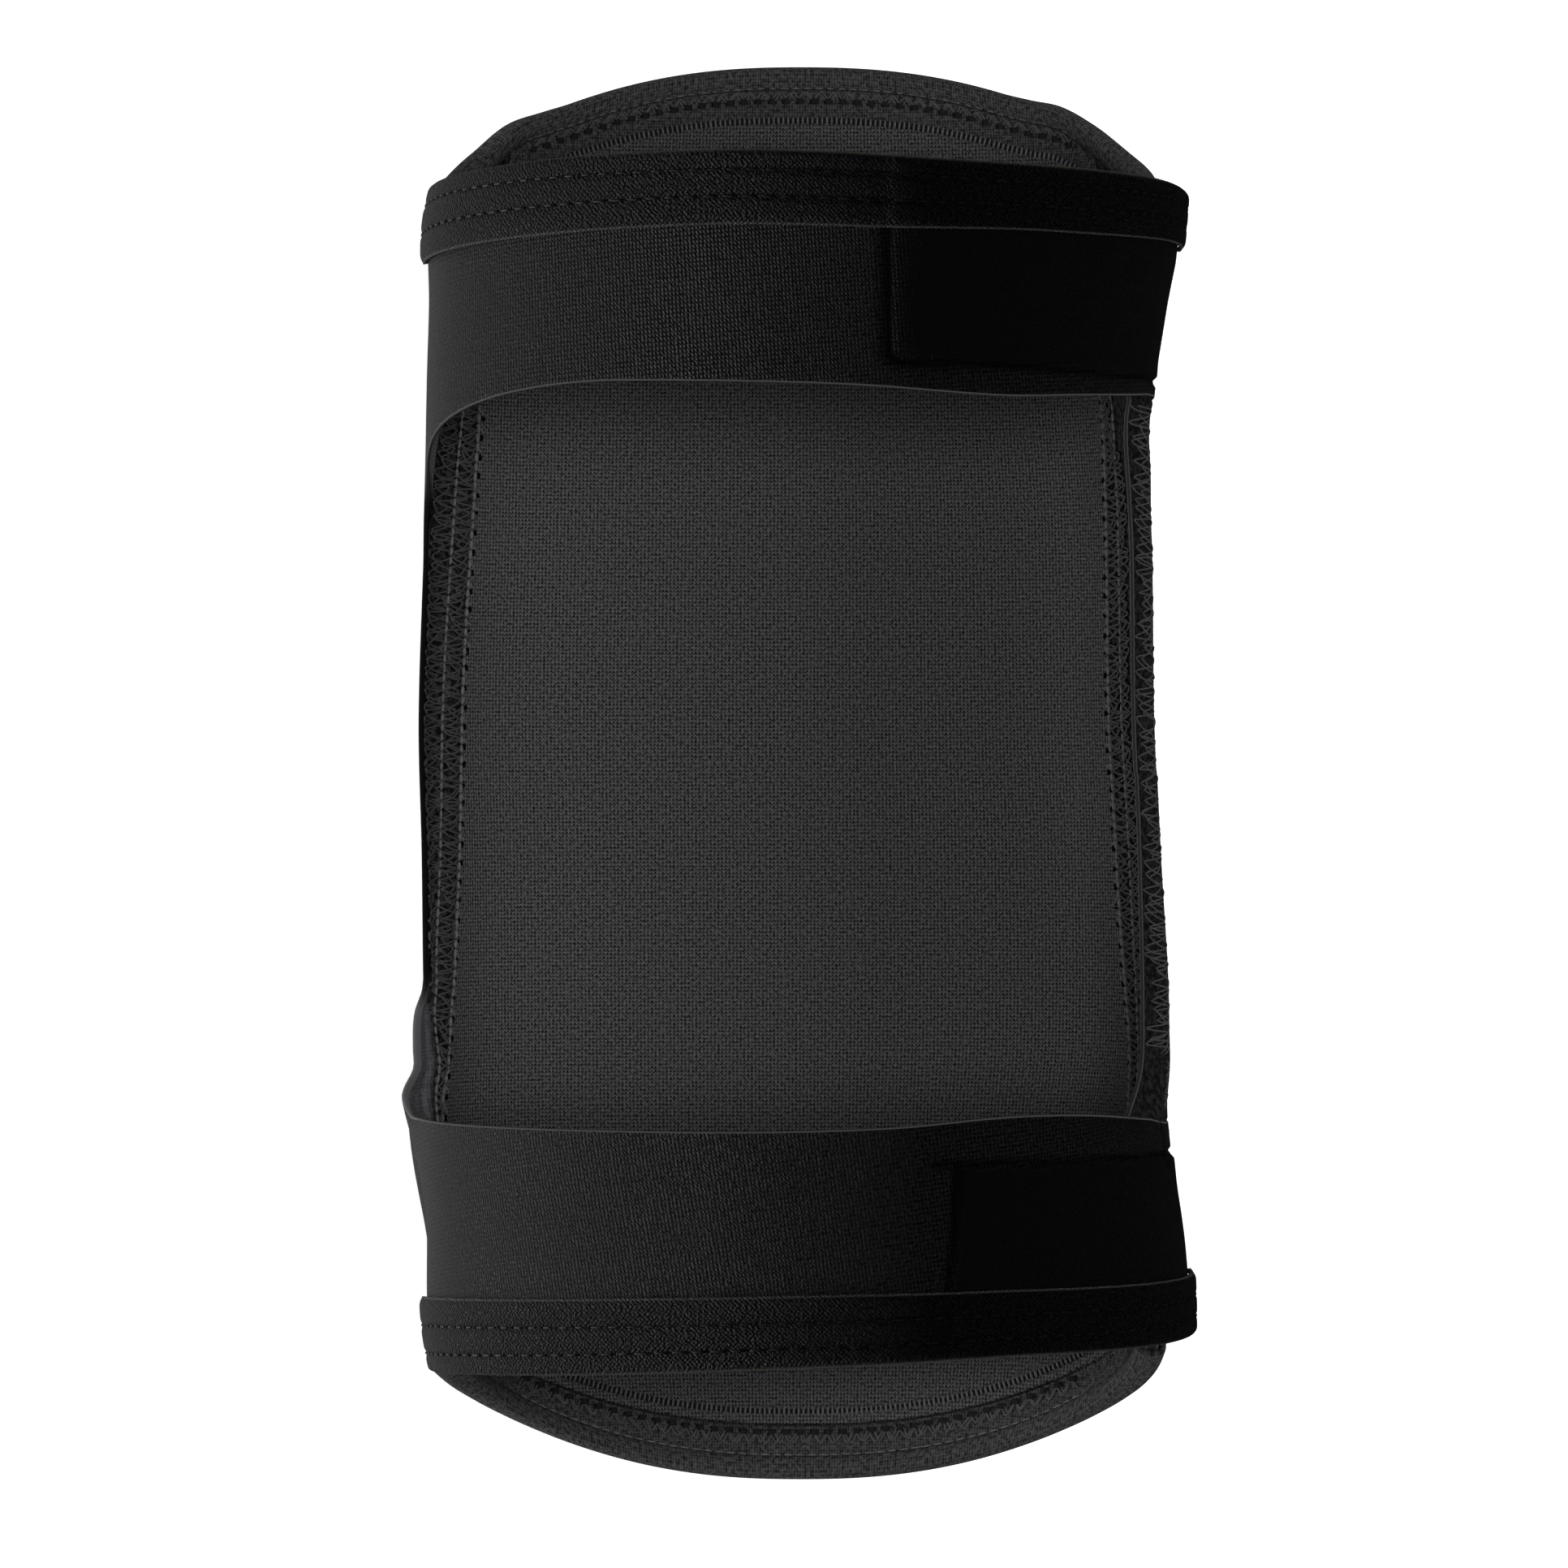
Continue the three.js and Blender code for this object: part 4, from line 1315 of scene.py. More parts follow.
def stitch_row_tree():
    """Short lengths of thread set along a path, each a small ellipsoid lying on the cloth."""
    found = bpy.data.node_groups.get("stitch row")
    if found:
        return found
    tree, given = sewing_tree("stitch row", ("Spacing", "Along", "Across", "Height"))
    curve = node(tree, "GeometryNodeMeshToCurve", {"Mesh": given["Path"]})
    spaced = node(
        tree,
        "GeometryNodeResampleCurve",
        {"Curve": curve.outputs["Curve"], "Length": given["Spacing"]},
        mode="LENGTH",
    )
    ball = node(tree, "GeometryNodeMeshUVSphere", {"Segments": 8, "Rings": 5, "Radius": 0.5})
    size = {"X": given["Along"], "Y": given["Across"], "Z": given["Height"]}
    size = node(tree, "ShaderNodeCombineXYZ", size)
    stitch = node(
        tree,
        "GeometryNodeTransform",
        {"Geometry": ball.outputs["Mesh"], "Scale": size.outputs["Vector"]},
    )
    up = node(tree, "GeometryNodeInputNamedAttribute", {"Name": "up"}, data_type="FLOAT_VECTOR")
    tangent = node(tree, "GeometryNodeInputTangent")
    turn = node(
        tree,
        "FunctionNodeAxesToRotation",
        {"Primary Axis": tangent.outputs["Tangent"], "Secondary Axis": up.outputs["Attribute"]},
        primary_axis="X",
        secondary_axis="Z",
    )
    uneven = node(
        tree,
        "FunctionNodeRandomValue",
        {"Min": (0.86, 0.85, 0.85), "Max": (1.08, 1.12, 1.1), "Seed": 7},
        data_type="FLOAT_VECTOR",
    )
    placed = node(
        tree,
        "GeometryNodeInstanceOnPoints",
        {
            "Points": spaced.outputs["Curve"],
            "Instance": stitch.outputs["Geometry"],
            "Rotation": turn.outputs["Rotation"],
            "Scale": uneven.outputs[0],
        },
    )
    end_sewing_tree(tree, placed.outputs["Instances"], given["Thread"])
    return tree


def thread_path_tree():
    """A thread laid along a path as a thin round tube."""
    found = bpy.data.node_groups.get("thread path")
    if found:
        return found
    tree, given = sewing_tree("thread path", ("Radius",))
    curve = node(tree, "GeometryNodeMeshToCurve", {"Mesh": given["Path"]})
    section = {"Resolution": 6, "Radius": given["Radius"]}
    section = node(tree, "GeometryNodeCurvePrimitiveCircle", section)
    tube = {
        "Curve": curve.outputs["Curve"],
        "Profile Curve": section.outputs["Curve"],
        "Fill Caps": True,
    }
    tube = node(tree, "GeometryNodeCurveToMesh", tube)
    end_sewing_tree(tree, tube.outputs["Mesh"], given["Thread"])
    return tree


def zigzag(start, stop, pitch, phase, uneven, seed, square=0.0):
    """Shares 0 to 1 across a band and distances along it, for one thread that crosses to and fro.

    square is how far the thread crosses straight and then runs along the band's side.
    """
    random = np.random.default_rng(seed)
    turns = int((stop - start) / (pitch / 2))
    knots = start + (np.arange(turns + 1) + phase) * pitch / 2
    knots = knots + random.uniform(-uneven, uneven, turns + 1) * pitch / 2
    knots = np.minimum(knots, stop)
    reach = (np.arange(turns + 1) % 2) + random.uniform(-uneven, uneven, turns + 1) * 0.6
    fine = np.linspace(0, turns, turns * 6 + 1)
    near = np.minimum(fine.astype(int), turns - 1)
    share = fine - near
    cross = mix(share, smooth_step(0, 1, share), 0.6)
    cross = mix(cross, smooth_step(0, 0.55, share), square)
    along = mix(share, smooth_step(0.4, 1, share), square)
    return mix(reach[near], reach[near + 1], cross), mix(knots[near], knots[near + 1], along)


def seam_line(side, past):
    """A line past a seam, from one end's binding to the other's."""
    y = np.zeros(2)
    for _ in range(SETTLE_ROUNDS):
        s = side * (seam_girth(side, y) + past)
        y = np.array([outer_edge("lower", s)[0], outer_edge("upper", s)[1]])
        y = y + np.array([SEAM_END_INSET, -SEAM_END_INSET])
    y = np.linspace(y[0], y[1], 220)
    width = seam_width(side, y) if side < 0 else 1.0
    return side * (seam_girth(side, y) + past * width), y


def seam_loops(side, band, pitch):
    """Three looper threads to and fro across a band of a seam: girths, distances and heights."""
    low, high = FLATLOCK_LINES[side][band:band + 2]
    span = seam_line(side, high)[1]
    foot = FLATLOCK_FOOT if side < 0 and band else span[0]
    for thread in range(3):
        seed = 10 * band + thread + (50 if side > 0 else 0)
        share, y = zigzag(foot, span[-1], pitch, 0.67 * thread, 0.45, seed, square=0.25)
        past = mix(low, high, share) * seam_width(side, y)
        over = 0.12 + 0.3 * np.sin(math.pi * np.clip(share, 0, 1)) + 0.1 * thread
        yield side * (seam_girth(side, y) + past), y, over


def seam_ticks(side, pitch):
    """Short threads over a seam's edge, and dark shapes of painted shade in the dip behind each, one of each for a
    stitch.
    """
    random = np.random.default_rng(70 + side)
    y = seam_line(side, 0.0)[1]
    ticks = []
    dip_shades = []
    for place in np.arange(y[0], y[-1], pitch):
        reach = np.array(TICK_REACH) + random.uniform(-0.2, 0.2, 3)
        along = place + np.array(TICK_ALONG) + random.uniform(-0.3, 0.3, 3)
        ticks.append(path_on(side * (seam_girth(side, along) + reach), along, -0.12, -1))
        along = along[2] + np.array(DIP_SHADE_ALONG)
        reach = random.uniform(*DIP_SHADE_REACH, 3)
        dip_shades.append(path_on(side * (seam_girth(side, along) + reach), along, 0.3, -1))
    return ticks, dip_shades


def groove_line(line):
    """Runs and distances along a line of the hook tapes' sewing, short of the strap's binding."""
    corners = np.array(line)
    lengths = np.linalg.norm(np.diff(corners, axis=0), axis=1)
    steps = np.concatenate([[0], np.cumsum(lengths)])
    places = np.linspace(0, steps[-1], 120)
    run = np.interp(places, steps, corners[:, 0])
    y = np.interp(places, steps, corners[:, 1])
    reach = np.abs(outer_edge("upper", -run)) - GROOVE_SEWING_INSET
    kept = (run < STRAP_END - 1) & (np.abs(y) < reach)
    return run[kept], y[kept]


def rim_threads(pitch):
    """Three overlock threads to and fro along the right wing's rim."""
    threads = []
    for thread in range(3):
        share, y = zigzag(*OVERLOCK_SPAN, pitch, 0.67 * thread, 0.5, 90 + thread, square=0.2)
        s = RIGHT_RIM - mix(*OVERLOCK_BAND, share)
        over = 0.05 + 0.05 * thread
        threads.append(path_on(s, y, right_far_depth(s, y) + over, 1))
    return threads


def end_zigzag(end, pitch):
    """Two threads to and fro round an end, drawn down where its border is dented."""
    sign = END_SIGN[end]
    span = (-END_SEWING_REACH, END_SEWING_REACH)
    threads = []
    for thread in range(2):
        share, s = zigzag(*span, pitch, 0.4 * thread, 0.25, 30 + thread + 5 * sign)
        inset = mix(*END_ZIGZAG[end], share)
        depth = -0.05 + 0.4 * bell(inset - END_DENTS[end], 0.8)
        threads.append(path_on(s, outer_edge(end, s) - sign * inset, depth, -1))
    return threads


def end_dip_shades(end, pitch):
    """Dark shapes of painted shade in an end's dents, one for each turn of its zigzag."""
    sign = END_SIGN[end]
    half_count = int(END_SEWING_REACH / pitch)
    dip_shades = []
    for place in np.arange(-half_count, half_count + 1) * pitch:
        s = np.full(3, place)
        inset = END_DENTS[end] + np.array([-0.5, 0.0, 0.5])
        dip_shades.append(path_on(s, outer_edge(end, s) - sign * inset, 0.5, -1))
    return dip_shades


# Materials
def start_material(name):
    """A new material and its shader, or none for the shader where the material is there already."""
    found = bpy.data.materials.get(name)
    if found:
        return found, None, None
    material = bpy.data.materials.new(name)
    material.use_nodes = True
    tree = material.node_tree
    tree.nodes.clear()
    shader = node(tree, "ShaderNodeBsdfPrincipled")
    node(tree, "ShaderNodeOutputMaterial", {"Surface": shader.outputs["BSDF"]})
    return material, tree, shader


def cloth_places(tree, uv_map):
    """Girth and distance along the leg, or the same turned to the grain, in millimetres."""
    uv = node(tree, "ShaderNodeUVMap", uv_map=uv_map)
    large = {0: uv.outputs["UV"], "Scale": 1 / MM}
    large = node(tree, "ShaderNodeVectorMath", large, operation="SCALE")
    parts = node(tree, "ShaderNodeSeparateXYZ", {0: large.outputs[0]})
    return parts.outputs["X"], parts.outputs["Y"], large.outputs[0]


def knit_pattern(tree, x, y, wale, course):
    """Heights 0 to 1 of plain knitting: columns of V-shaped loops, wale wide and course high."""
    columns = node(tree, "ShaderNodeMath", {0: x, 1: wale}, operation="DIVIDE").outputs[0]
    rows = node(tree, "ShaderNodeMath", {0: y, 1: course}, operation="DIVIDE").outputs[0]
    slant = node(tree, "ShaderNodeMath", {0: columns, 1: 0.5}, operation="PINGPONG").outputs[0]
    rows = node(tree, "ShaderNodeMath", {0: slant, 1: rows}, operation="ADD").outputs[0]
    rows = node(tree, "ShaderNodeMath", {0: rows, 1: 2 * math.pi}, operation="MULTIPLY").outputs[0]
    loops = node(tree, "ShaderNodeMath", {0: rows}, operation="SINE").outputs[0]
    legs = {0: columns, 1: 2 * math.pi}
    legs = node(tree, "ShaderNodeMath", legs, operation="MULTIPLY").outputs[0]
    legs = node(tree, "ShaderNodeMath", {0: legs}, operation="COSINE").outputs[0]
    leg_share = 0.9
    both = {0: legs, 1: -leg_share, 2: loops}
    both = node(tree, "ShaderNodeMath", both, operation="MULTIPLY_ADD").outputs[0]
    both = {0: both, 1: -1 - leg_share, 2: 1 + leg_share}
    return node(tree, "ShaderNodeMapRange", both).outputs[0]


def weave_pattern(tree, x, y, pitch):
    """Heights 0 to 1 of a plain close weave, with threads over and under at the pitch."""
    waves = []
    for place in (x, y):
        turn = {0: place, 1: 2 * math.pi / pitch}
        turn = node(tree, "ShaderNodeMath", turn, operation="MULTIPLY").outputs[0]
        waves.append(node(tree, "ShaderNodeMath", {0: turn}, operation="SINE").outputs[0])
    both = {0: waves[0], 1: waves[1]}
    both = node(tree, "ShaderNodeMath", both, operation="MULTIPLY").outputs[0]
    return node(tree, "ShaderNodeMapRange", {0: both, 1: -1.0, 2: 1.0}).outputs[0]


def yarn_fuzz(tree, places, height, size, share):
    """A pattern broken up by the loose hairs and uneven yarn of real cloth, size in millimetres."""
    hairs = {"Vector": places, "Scale": 1 / size, "Detail": 2.0}
    hairs = node(tree, "ShaderNodeTexNoise", hairs).outputs[0]
    hairs = node(tree, "ShaderNodeMapRange", {0: hairs, 1: 0.25, 2: 0.75}).outputs[0]
    both = node(tree, "ShaderNodeMix", {0: share, 2: height, 3: hairs}).outputs[0]
    return node(tree, "ShaderNodeMapRange", {0: both, 1: 0.25, 2: 0.75}).outputs[0]


def knitted(tree, uv_map, wale, course, hair, hair_share):
    """The places and heights of a knitted cloth with loops of a size in metres."""
    x, y, places = cloth_places(tree, uv_map)
    height = knit_pattern(tree, x, y, wale / MM, course / MM)
    return places, yarn_fuzz(tree, places, height, hair, hair_share)


def dress(tree, shader, height, hollow, crest, relief, roughness, gloss):
    """Colours a pattern from its hollows to its crests and gives it relief in millimetres.

    The hollows are a little rougher than the crests.
    """
    tones = {0: height, 6: hollow, 7: crest}
    colour = node(tree, "ShaderNodeMix", tones, data_type="RGBA").outputs[2]
    bump = {"Height": height, "Strength": 1.0, "Distance": relief * MM}
    bump = node(tree, "ShaderNodeBump", bump).outputs["Normal"]
    rough = {0: height, 3: min(1.0, roughness + 0.08), 4: roughness}
    rough = node(tree, "ShaderNodeMapRange", rough).outputs[0]
    for socket, value in (("Base Color", colour), ("Normal", bump), ("Roughness", rough)):
        tree.links.new(value, shader.inputs[socket])
    shader.inputs["Specular IOR Level"].default_value = gloss
    return colour


def shade_of(colour, share):
    return (*[c * share for c in colour], 1)


def shades(colour, dark, light):
    """A colour's hollow and crest, as shares of it."""
    return shade_of(colour, dark), shade_of(colour, light)


def crumbs(tree, places, dark, light):
    """The colour of cloth under a mat of looper threads: pale crumbs of thread in dark gaps."""
    crumb_size = 1.1
    mat = {"Vector": places, "Scale": 1 / crumb_size, "Detail": 2.0}
    mat = node(tree, "ShaderNodeTexNoise", mat).outputs[0]
    mat = node(tree, "ShaderNodeMapRange", {0: mat, 1: 0.42, 2: 0.62}).outputs[0]
    return node(tree, "ShaderNodeMix", {0: mat, 6: dark, 7: light}, data_type="RGBA").outputs[2]


def cover_marked(tree, colour, marks):
    """A colour with others laid over it, each where an attribute of the mesh says."""
    for attribute, over in marks:
        share = node(tree, "ShaderNodeAttribute", attribute_name=attribute).outputs["Fac"]
        layers = {0: share, 6: colour, 7: over}
        colour = node(tree, "ShaderNodeMix", layers, data_type="RGBA").outputs[2]
    return colour


# Polyester jersey knitted in fine plain loops and brushed a little. It is soft and even, with a
# faint grid of loops and few loose hairs. Its loops are drawn at their size, about 0.65 mm.
def knit_lining(look):
    material, tree, shader = start_material("polyester jersey lining")
    if shader:
        _, height = knitted(tree, "cloth", look.knit_wale, look.knit_course, 0.5, 0.5)
        tones = shades(look.lining, 0.15, 1.85)
        dress(tree, shader, height, *tones, relief=0.2, roughness=0.9, gloss=0.04)
    return material


# The same jersey knitted closer for the ends' borders. Its loops are hard to tell apart, so it
# looks grainy, and it is darker and more even than the lining.
def border_knit(look):
    material, tree, shader = start_material("close polyester jersey border")
    if shader:
        wale, course = 0.8 * look.knit_wale, 0.8 * look.knit_course
        _, height = knitted(tree, "cloth", wale, course, 0.7, 0.6)
        tones = shades(look.border, 0.25, 1.75)
        dress(tree, shader, height, *tones, relief=0.16, roughness=0.85, gloss=0.08)
    return material


# Polyester jersey laminated to foam for the face that kneels on the ground: black, matt and close.
# Its loops are drawn a third larger than the lining's so that they show.
def pad_cover(look):
    material, tree, shader = start_material("jersey cover of the foam")
    if shader:
        wale, course = 1.3 * look.knit_wale, 1.3 * look.knit_course
        _, height = knitted(tree, "cloth", wale, course, 1.2, 0.4)
        tones = shades(look.cover, 0.5, 1.5)
        dress(tree, shader, height, *tones, relief=0.14, roughness=0.7, gloss=0.15)
    return material


# Chloroprene sponge with nylon jersey laminated to it. The jersey's flat loops, about 0.6 mm wide
# and 0.75 mm high, show as fine courses in slanting light, and its smooth nylon gives a dull gleam
# with a trace of violet. It is pressed flat and looks blacker where a hook tape is sewn behind it,
# shade is painted black down in that sewing, and overlock threads lie on it at the right wing's rim.
def strap_jersey(look):
    material, tree, shader = start_material("nylon jersey on neoprene")
    if shader:
        wale, course = look.strap_wale, look.strap_course
        places, height = knitted(tree, "grain", wale, course, 0.6, 0.5)
        tones = shades(look.strap, 0.1, 1.9)
        colour = dress(tree, shader, height, *tones, relief=0.38, roughness=0.55, gloss=0.2)
        mat = crumbs(tree, places, shade_of(look.strap, 1), shade_of(look.inside, 0.24))
        marks = (
            ("pressed", shade_of(look.strap, 0.45)),
            # Shade painted black down in the hook tapes' sewing
            ("sewn", shade_of(look.strap, 0.1)),
            ("overlocked", mat),
        )
        tree.links.new(cover_marked(tree, colour, marks), shader.inputs["Base Color"])
        shader.inputs["Specular Tint"].default_value = shade_of(look.gleam, 1)
    return material


# The side of the neoprene that touches the leg: plain brushed jersey, soft and a little grainy.
# Under a flatlock seam it is pressed down, with shade painted dark between pale crumbs of looper
# thread; the right wing's inside also has painted shade under the upper strap.
def inner_jersey(look):
    material, tree, shader = start_material("soft jersey inside of neoprene")
    if shader:
        places, height = knitted(tree, "cloth", look.knit_wale, look.knit_course, 1.0, 0.5)
        tones = shades(look.inside, 0.6, 1.4)
        colour = dress(tree, shader, height, *tones, relief=0.08, roughness=0.88, gloss=0.05)
        mat = crumbs(tree, places, *shades(look.inside, 0.06, 0.36))
        # Painted shade and pale crumbs of thread under the seams and beside the upper strap
        colour = cover_marked(tree, colour, [("seam_mat_and_shade", mat)])
        tree.links.new(colour, shader.inputs["Base Color"])
    return material


# The laminate cut with a knife: brown black sponge between two thin pale lines, the cut ends of
# the jersey on both sides. Its pores of about 0.3 mm are drawn at 0.5 mm so that they show. Where
# the web turns out at the kink, soft jersey shows instead, and threads darken the left wing's rim.
def cut_edge(look):
    material, tree, shader = start_material("cut neoprene edge")
    if shader:
        pore_size = 0.5
        places = cloth_places(tree, "cloth")[2]
        pores = {"Vector": places, "Scale": 1 / pore_size, "Detail": 3.0}
        pores = node(tree, "ShaderNodeTexNoise", pores).outputs[0]
        tones = shades(look.sponge, 0.6, 1.4)
        colour = dress(tree, shader, pores, *tones, relief=0.1, roughness=0.92, gloss=0.04)
        layer = node(tree, "ShaderNodeAttribute", attribute_name="layer").outputs["Fac"]
        side = node(tree, "ShaderNodeMath", {0: layer}, operation="ABSOLUTE").outputs[0]
        skin = node(tree, "ShaderNodeMapRange", {0: side, 1: 0.45, 2: 0.75}).outputs[0]
        layers = {0: skin, 6: colour, 7: shade_of(look.cut, 1)}
        colour = node(tree, "ShaderNodeMix", layers, data_type="RGBA").outputs[2]
        marks = (("turned", shade_of(look.inside, 1)), ("covered", shade_of(look.sponge, 0.25)))
        tree.links.new(cover_marked(tree, colour, marks), shader.inputs["Base Color"])
    return material


# Folded elastic braid woven of polyester over rubber. It is dull and grainy, with a paler selvage
# thread along both edges, partly a painted highlight, and a worn, slightly brown line on the fold.
# Its threads are about half a millimetre apart and are drawn coarser, at the given pitch, so that
# they show.
def woven_tape(look, width, fold):
    material, tree, shader = start_material("woven elastic braid")
    if shader:
        x, y, places = cloth_places(tree, "cloth")
        height = weave_pattern(tree, x, y, look.weave_pitch / MM)
        height = yarn_fuzz(tree, places, height, 0.5, 0.7)
        tones = shades(look.tape, 0.1, 1.9)
        colour = dress(tree, shader, height, *tones, relief=0.8, roughness=0.6, gloss=0.23)
        half = width / 2
        # The paler edges are partly the selvage's own colour and partly a painted highlight
        lines = ((half, half - 0.55, half - 0.25, look.selvage_highlight), (fold, 1.3, 0.5, look.worn))
        for middle, start, stop, over in lines:
            away = node(tree, "ShaderNodeMath", {0: y, 1: middle}, operation="SUBTRACT").outputs[0]
            away = node(tree, "ShaderNodeMath", {0: away}, operation="ABSOLUTE").outputs[0]
            share = node(tree, "ShaderNodeMapRange", {0: away, 1: start, 2: stop}).outputs[0]
            layers = {0: share, 6: colour, 7: shade_of(over, 1)}
            colour = node(tree, "ShaderNodeMix", layers, data_type="RGBA").outputs[2]
        tree.links.new(colour, shader.inputs["Base Color"])
    return material


# Nylon hook tape: woven ground with rows of cut loops about 1.6 mm apart. It is black, dull from
# above and bristly.
def hook_nylon(look):
    material, tree, shader = start_material("nylon hook tape")
    if shader:
        row_pitch = 1.6
        x, y, places = cloth_places(tree, "cloth")
        height = weave_pattern(tree, x, y, row_pitch)
        height = yarn_fuzz(tree, places, height, 0.5, 0.3)
        tones = shades(look.hook, 0.4, 1.8)
        dress(tree, shader, height, *tones, relief=0.5, roughness=0.5, gloss=0.0)
    return material


# Textured polyester sewing thread, two plies twisted about every 0.8 mm. It is paler than the
# cloth, a little uneven along its plies, and catches light along its top. Its darker shares are
# partly painted shade, and the darkest also stand for shade in dents and needle holes.
def sewing_thread(look, name):
    material, tree, shader = start_material(name)
    if shader:
        share, gloss = THREADS[name]
        ply_turn = 0.8
        where = node(tree, "ShaderNodeTexCoord").outputs["Object"]
        plies = {"Vector": where, "Scale": 1 / (ply_turn * MM), "Detail": 2.0}
        plies = node(tree, "ShaderNodeTexNoise", plies).outputs[0]
        tones = shades([c * share for c in look.thread], 0.5, 1.5)
        dress(tree, shader, plies, *tones, relief=0.06, roughness=0.6, gloss=gloss)
    return material


# White painted studio floor: even and matt, and bright enough to stay white in soft light.
def studio_floor(look):
    material, tree, shader = start_material("white studio floor")
    if shader:
        where = node(tree, "ShaderNodeTexCoord").outputs["Object"]
        cloud = {"Vector": where, "Scale": 3.0, "Detail": 1.0}
        cloud = node(tree, "ShaderNodeTexNoise", cloud).outputs[0]
        tones = shades(look.floor, 0.98, 1.0)
        dress(tree, shader, cloud, *tones, relief=0.0, roughness=0.9, gloss=0.0)
        shader.inputs["Emission Color"].default_value = shade_of(look.floor, 1)
        shader.inputs["Emission Strength"].default_value = look.floor_glow
    return material


# What a user may change
def length(name, description, millimetres):
    return bpy.props.FloatProperty(
        name=name, description=description, unit="LENGTH", precision=5, min=0.0,
        default=millimetres * MM,
    )


def colour(name, description, hex_colour):
    return bpy.props.FloatVectorProperty(
        name=name, description=description, subtype="COLOR", size=3, min=0, max=1,
        default=linear(hex_colour),
    )


class KneePadSizes(bpy.types.PropertyGroup):
    """Sizes of the sewing and of the soft shapes."""

    strap_stitch_pitch: length("Strap stitch pitch", "From stitch to stitch on the bindings", 3.2)
    strap_stitch: length("Strap stitch", "Length of a stitch on the bindings", 2.1)
    seam_pitch: length("Seam pitch", "From stitch to stitch on the flatlock seams", 3.4)
    zigzag_pitch: length("Zigzag pitch", "One to and fro of the ends' zigzag", 2.85)
    serge_pitch: length("Serge pitch", "From thread to thread along the lining's ends", 0.85)
    thread: length("Thread", "Thickness of the sewing thread", 0.5)
    edge_round: length("Cut edge", "How far a cut edge stands out round", 0.35)
    kink_out: length("Kink", "How far the web stands out by the lower strap", 3.4)
    groove: length("Sewing groove", "How deep the hook tapes' sewing draws the straps in", 0.75)
    swell_cap: length("Swell", "The most that the foam may push the cover out", 3.0)
    pressure: bpy.props.FloatProperty(
        name="Foam pressure", description="Pressure of the foam under the cover", min=0.0,
        default=4.0,
    )


class KneePadLook(bpy.types.PropertyGroup):
    """Colours of the cloths and sizes of their patterns."""

    lining: colour("Lining", "Knitted lining", "#434344")
    border: colour("Border", "Knitted borders of the ends", "#363637")
    cover: colour("Cover", "Cover of the padded front", "#1d1d1e")
    strap: colour("Strap", "Outer face of straps and wings", "#0f0f10")
    gleam: colour("Gleam", "Tint of the light that the straps' nylon throws back", "#faf7ff")
    inside: colour("Inside", "Side of the wings that touches the leg", "#4d4d4f")
    sponge: colour("Sponge", "Cut sponge between its jersey faces", "#232120")
    cut: colour("Cut", "Cut ends of the jersey", "#3d3d3c")
    tape: colour("Tape", "Folded bindings", "#09090a")
    # Partly a painted highlight along the bindings' edges
    selvage_highlight: colour("Selvage", "Edges of the bindings", "#383736")
    worn: colour("Worn fold", "Fold of the bindings", "#413b32")
    hook: colour("Hook tape", "Hook tapes", "#141415")
    thread: colour("Thread", "Sewing thread", "#58585a")
    floor: colour("Floor", "Studio floor", "#f6f6f6")
    floor_glow: bpy.props.FloatProperty(
        name="Floor glow", description="Light of the floor itself", default=0.75, min=0.0
    )
    knit_wale: length("Knit width", "Width of a knitted loop as drawn", 0.67)
    knit_course: length("Knit height", "Height of a knitted loop as drawn", 0.65)
    strap_wale: length("Strap knit width", "Width of a loop of the straps' jersey as drawn", 0.62)
    strap_course: length("Strap knit height", "Height of a loop of the straps' jersey", 0.74)
    weave_pitch: length("Weave pitch", "Distance of the tape's threads as drawn", 0.8)


def settings(context):
    return context.scene.knee_pad_sizes, context.scene.knee_pad_look


# Operators
class FrontPad(bpy.types.Operator):
    """Build the padded front panel, its cover pushed out by the foam"""

    bl_idname = "knee_pad.front_pad"
    bl_label = "Front Pad"

    def execute(self, context):
        sizes, look = settings(context)
        pitch = sizes.zigzag_pitch / MM
        cloth = Cloth()
        insets = np.linspace(0, BORDER_DEPTH, 25)
        cloth.block(*panel_grid(columns=220, insets=insets, middle_rows=84))

        def near(s, y):
            return pad_near_depth(s, y, pitch)

        def far(s, y):
            return np.maximum(FOAM_SHARE * pad_far_depth(s, y), near(s, y) + LEAST_FOAM)

        border = border_knit(look)
        materials = [border, pad_cover(look), border]
        mesh = cloth.wall("front_pad_soft", near, far, sizes.edge_round / MM, materials)
        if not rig.quick():
            swell_face(mesh, swell(sizes.swell_cap, sizes.pressure))
        piece = add_piece(mesh, "pad_cover", ["front_pad"])
        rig.padded(piece, fill=0.85)
        return {"FINISHED"}


class Lining(bpy.types.Operator):
    """Build the knitted lining inside the front panel"""

    bl_idname = "knee_pad.lining"
    bl_label = "Lining"

    def execute(self, context):
        sizes, look = settings(context)
        pitch = sizes.seam_pitch / MM
        cloth = Cloth()
        insets = np.linspace(LINING_INSET, LINING_EDGE, 6)
        cloth.block(*panel_grid(columns=150, insets=insets, middle_rows=190))

        def drawn(s, y):
            from_seam = nearest_seam(s, y) - np.abs(s)
            stitches = 0.5 + 0.5 * np.sin(2 * math.pi * y / pitch)
            pulled = np.exp(-from_seam / PULL_REACH) * stitches
            slack = np.sin(s / SLACK_WAVE_GIRTH + 0.7) * np.sin(y / SLACK_WAVE_LEG + 0.3)
            slack = SLACK_DEPTH * slack * round_rise(from_seam / SLACK_REACH)
            return PULL_DEPTH * pulled - slack

        def far(s, y):
            return LINING

        knit = knit_lining(look)
        mesh = cloth.wall("lining_knit", drawn, far, LINING_EDGE_ROUND, [knit] * 3)
        piece = add_piece(mesh, "knit_lining", ["pad_lining"])
        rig.sheet(piece, **cloth.flat(), held="laid", rests_on=["front_pad_soft"])
        return {"FINISHED"}


